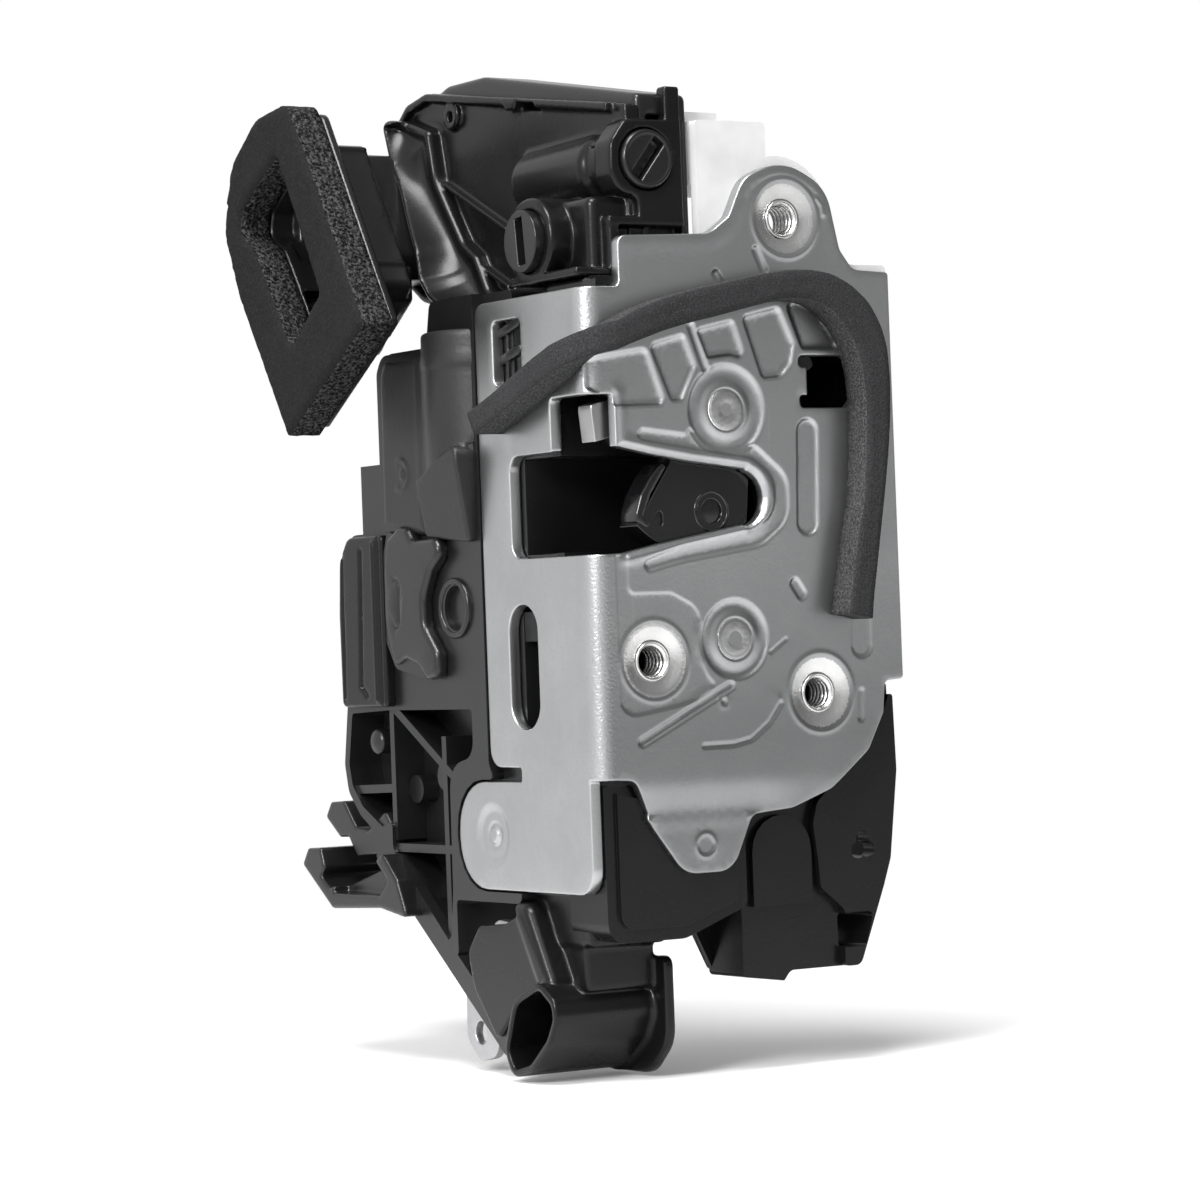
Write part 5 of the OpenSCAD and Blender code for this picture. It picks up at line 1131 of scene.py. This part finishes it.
# ---------------------------------------------------------------- foam ring round the key funnel
def gasket():
    """The thick foam ring, its cut sides light and uneven."""
    front, back = -57, -49
    out = rounded([[83.5, 88.2, 4], [53.3, 39.1, 1.2], [87.8, 18, 1.2], [108, 49.3, 20], [114.2, 64, 7], [110, 78, 8],
                   [98, 86.5, 10]], 8)
    hole = rounded(FUNNEL_HOLE, 6)
    a, b = resample(out, 1.2), resample(hole, 1.0)
    rng = np.random.default_rng(11)
    lo, hi = out.min(0), out.max(0)
    x, y = np.meshgrid(np.arange(lo[0], hi[0], 1.3), np.arange(lo[1], hi[1], 1.3))
    P = np.stack([x.ravel(), y.ravel()], 1) + rng.uniform(-0.3, 0.3, (x.size, 2))
    P = P[inside(P, out) & ~inside(P, hole) & (distance(P, out) > 0.9) & (distance(P, hole) > 0.9)]
    V, F = triangles([a, b], P, [b])
    d = np.minimum(distance(V, out), distance(V, hole))
    round_off = 0.7 * (1 - np.sqrt(np.clip(1 - (1 - np.clip(d, 0, 1)) ** 2, 0, 1)))
    faced = front + round_off + rng.normal(0, 0.05, len(V))
    n = len(V)
    points = np.vstack([np.column_stack([faced, V]), np.column_stack([back - round_off * 0.5, V])])
    walls = rim(F)
    faces = [tuple(f) for f in F] + [tuple(n + f[::-1]) for f in F]
    extra, mids = [], {}
    for p, q in walls:
        for i in (p, q):
            if i not in mids:
                mids[i] = [2 * n + len(extra) + k for k in range(4)]
                for w in (0.2, 0.4, 0.6, 0.8):
                    extra.append(points[i] * (1 - w) + points[n + i] * w + rng.normal(0, 0.07, 3))
    index = [0] * len(faces)
    for p, q in walls:
        cp, cq = [p] + mids[p] + [n + p], [q] + mids[q] + [n + q]
        for k in range(5):
            faces.append((cp[k], cq[k], cq[k + 1], cp[k + 1])[::-1])
            index.append(1)
    o = mesh_object("key_gasket_foam", np.vstack([points, np.array(extra)]), faces, [M["gasket"], M["gasket_cut"]],
                    "latch", indices=index)
    outward(o)
    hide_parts("key_gasket")


gasket()


# ---------------------------------------------------------------- camera, light and floor
def camera():
    """The camera fitted to the photo."""
    data = bpy.data.cameras.new("camera")
    data.lens, data.sensor_width = 120, 36
    data.clip_start, data.clip_end = 0.01, 50
    o = bpy.data.objects.new("camera", data)
    scene.collection.objects.link(o)
    right = Vector((0.8476766, -0.5291853, -0.0375134))
    up = Vector((0.0258078, -0.0294942, 0.9992317))
    ahead = Vector((0.5298852, 0.8479935, 0.0113444))
    m = Matrix.Identity(4)
    for k in range(3):
        m[k][0], m[k][1], m[k][2] = right[k], up[k], -ahead[k]
    m.translation = Vector((-449.1847, -662.3433, -28.2845)) * MM
    o.matrix_world = m
    scene.camera = o


def world():
    """A studio that is darker toward +X, and white where the camera sees it."""
    w = bpy.data.worlds.new("studio")
    scene.world = w
    w.use_nodes = True
    n = Nodes(w.node_tree)
    path, way = n.add("LightPath"), (n.add("TexCoord"), "Generated")
    side = n.add("VectorMath", {0: way, 1: (-0.93, 0.1, 0.22)}, operation="DOT_PRODUCT")
    greys = n.ramp(n.range((side, "Value"), -1, 1, 0, 1),
                   [(0.0, 0.12), (0.20, 0.30), (0.40, 0.34), (0.62, 0.66), (0.80, 1.0), (1.0, 1.1)])
    # Metal shows the white background too, where it mirrors what is behind the object
    behind = n.add("VectorMath", {0: way, 1: (0.53, 0.85, 0.0)}, operation="DOT_PRODUCT")
    part = n.range((behind, "Value"), 0.35, 0.85, 0, 1, interpolation_type="SMOOTHSTEP")
    mirror = n.math("MAXIMUM", (path, "Is Glossy Ray"), (path, "Is Transmission Ray"))
    seen = n.math("MAXIMUM", n.math("MULTIPLY", mirror, part), (path, "Is Camera Ray"))
    studio, white = n.add("Background", {0: greys}), n.add("Background", {0: (1, 1, 1)})
    n.add("OutputWorld", {0: n.add("MixShader", {0: seen, 1: studio, 2: white})})


def lamp(name, at, to, size, watts):
    data = bpy.data.lights.new(name, "AREA")
    data.shape, data.size, data.energy = "DISK", size, watts
    o = bpy.data.objects.new(name, data)
    scene.collection.objects.link(o)
    o.location = at
    o.rotation_euler = (Vector(to) - Vector(at)).to_track_quat("-Z", "Y").to_euler()


def floor():
    """A white floor that takes the shadow, and far from the object is as white as the background."""
    z, y0, count = cad_box[0][2] - 0.0006, 0.05, 64
    radii = (0.2, 0.5, 1.5, 6.0)
    pts = [(0, y0, z)] + [(x, y, z) for r in radii for x, y in circle(0, y0, r, count)]
    faces = [(0, 1 + i, 1 + (i + 1) % count) for i in range(count)]
    faces += [tuple(1 + v for v in f) for f in ring_faces(len(radii), count)]
    me = bpy.data.meshes.new("floor")
    me.from_pydata(pts, [], faces)
    o = bpy.data.objects.new("floor", me)
    scene.collection.objects.link(o)
    n = Surface("floor_white")
    n.t.nodes.remove(n.p)
    path = n.add("LightPath")
    glow = n.add("Emission", {1: n.math("MULTIPLY", (path, "Is Camera Ray"), 0.10)})
    near = n.add("AddShader", {0: n.add("BsdfDiffuse", {0: 0.82}), 1: glow})
    away = n.add("VectorMath", {0: n.co, 1: (0, y0, z)}, operation="DISTANCE")
    far = n.range((away, "Value"), 0.20, 0.50, 0.0, 1.0, interpolation_type="SMOOTHSTEP")
    seen = n.math("MAXIMUM", (path, "Is Camera Ray"), (path, "Is Glossy Ray"))
    mixer = n.add("MixShader", {0: n.math("MULTIPLY", far, seen), 1: near, 2: n.add("Emission")})
    n.put(n.out, {"Surface": mixer})
    me.materials.append(n.m)


camera()
world()
floor()
lamp("key", (-0.80, -0.40, 0.40), (0, 0.02, 0), 0.32, 8)
lamp("top", (-0.30, -0.24, 0.85), (0, 0.03, 0), 0.45, 11)
scene.view_settings.view_transform = "Standard"
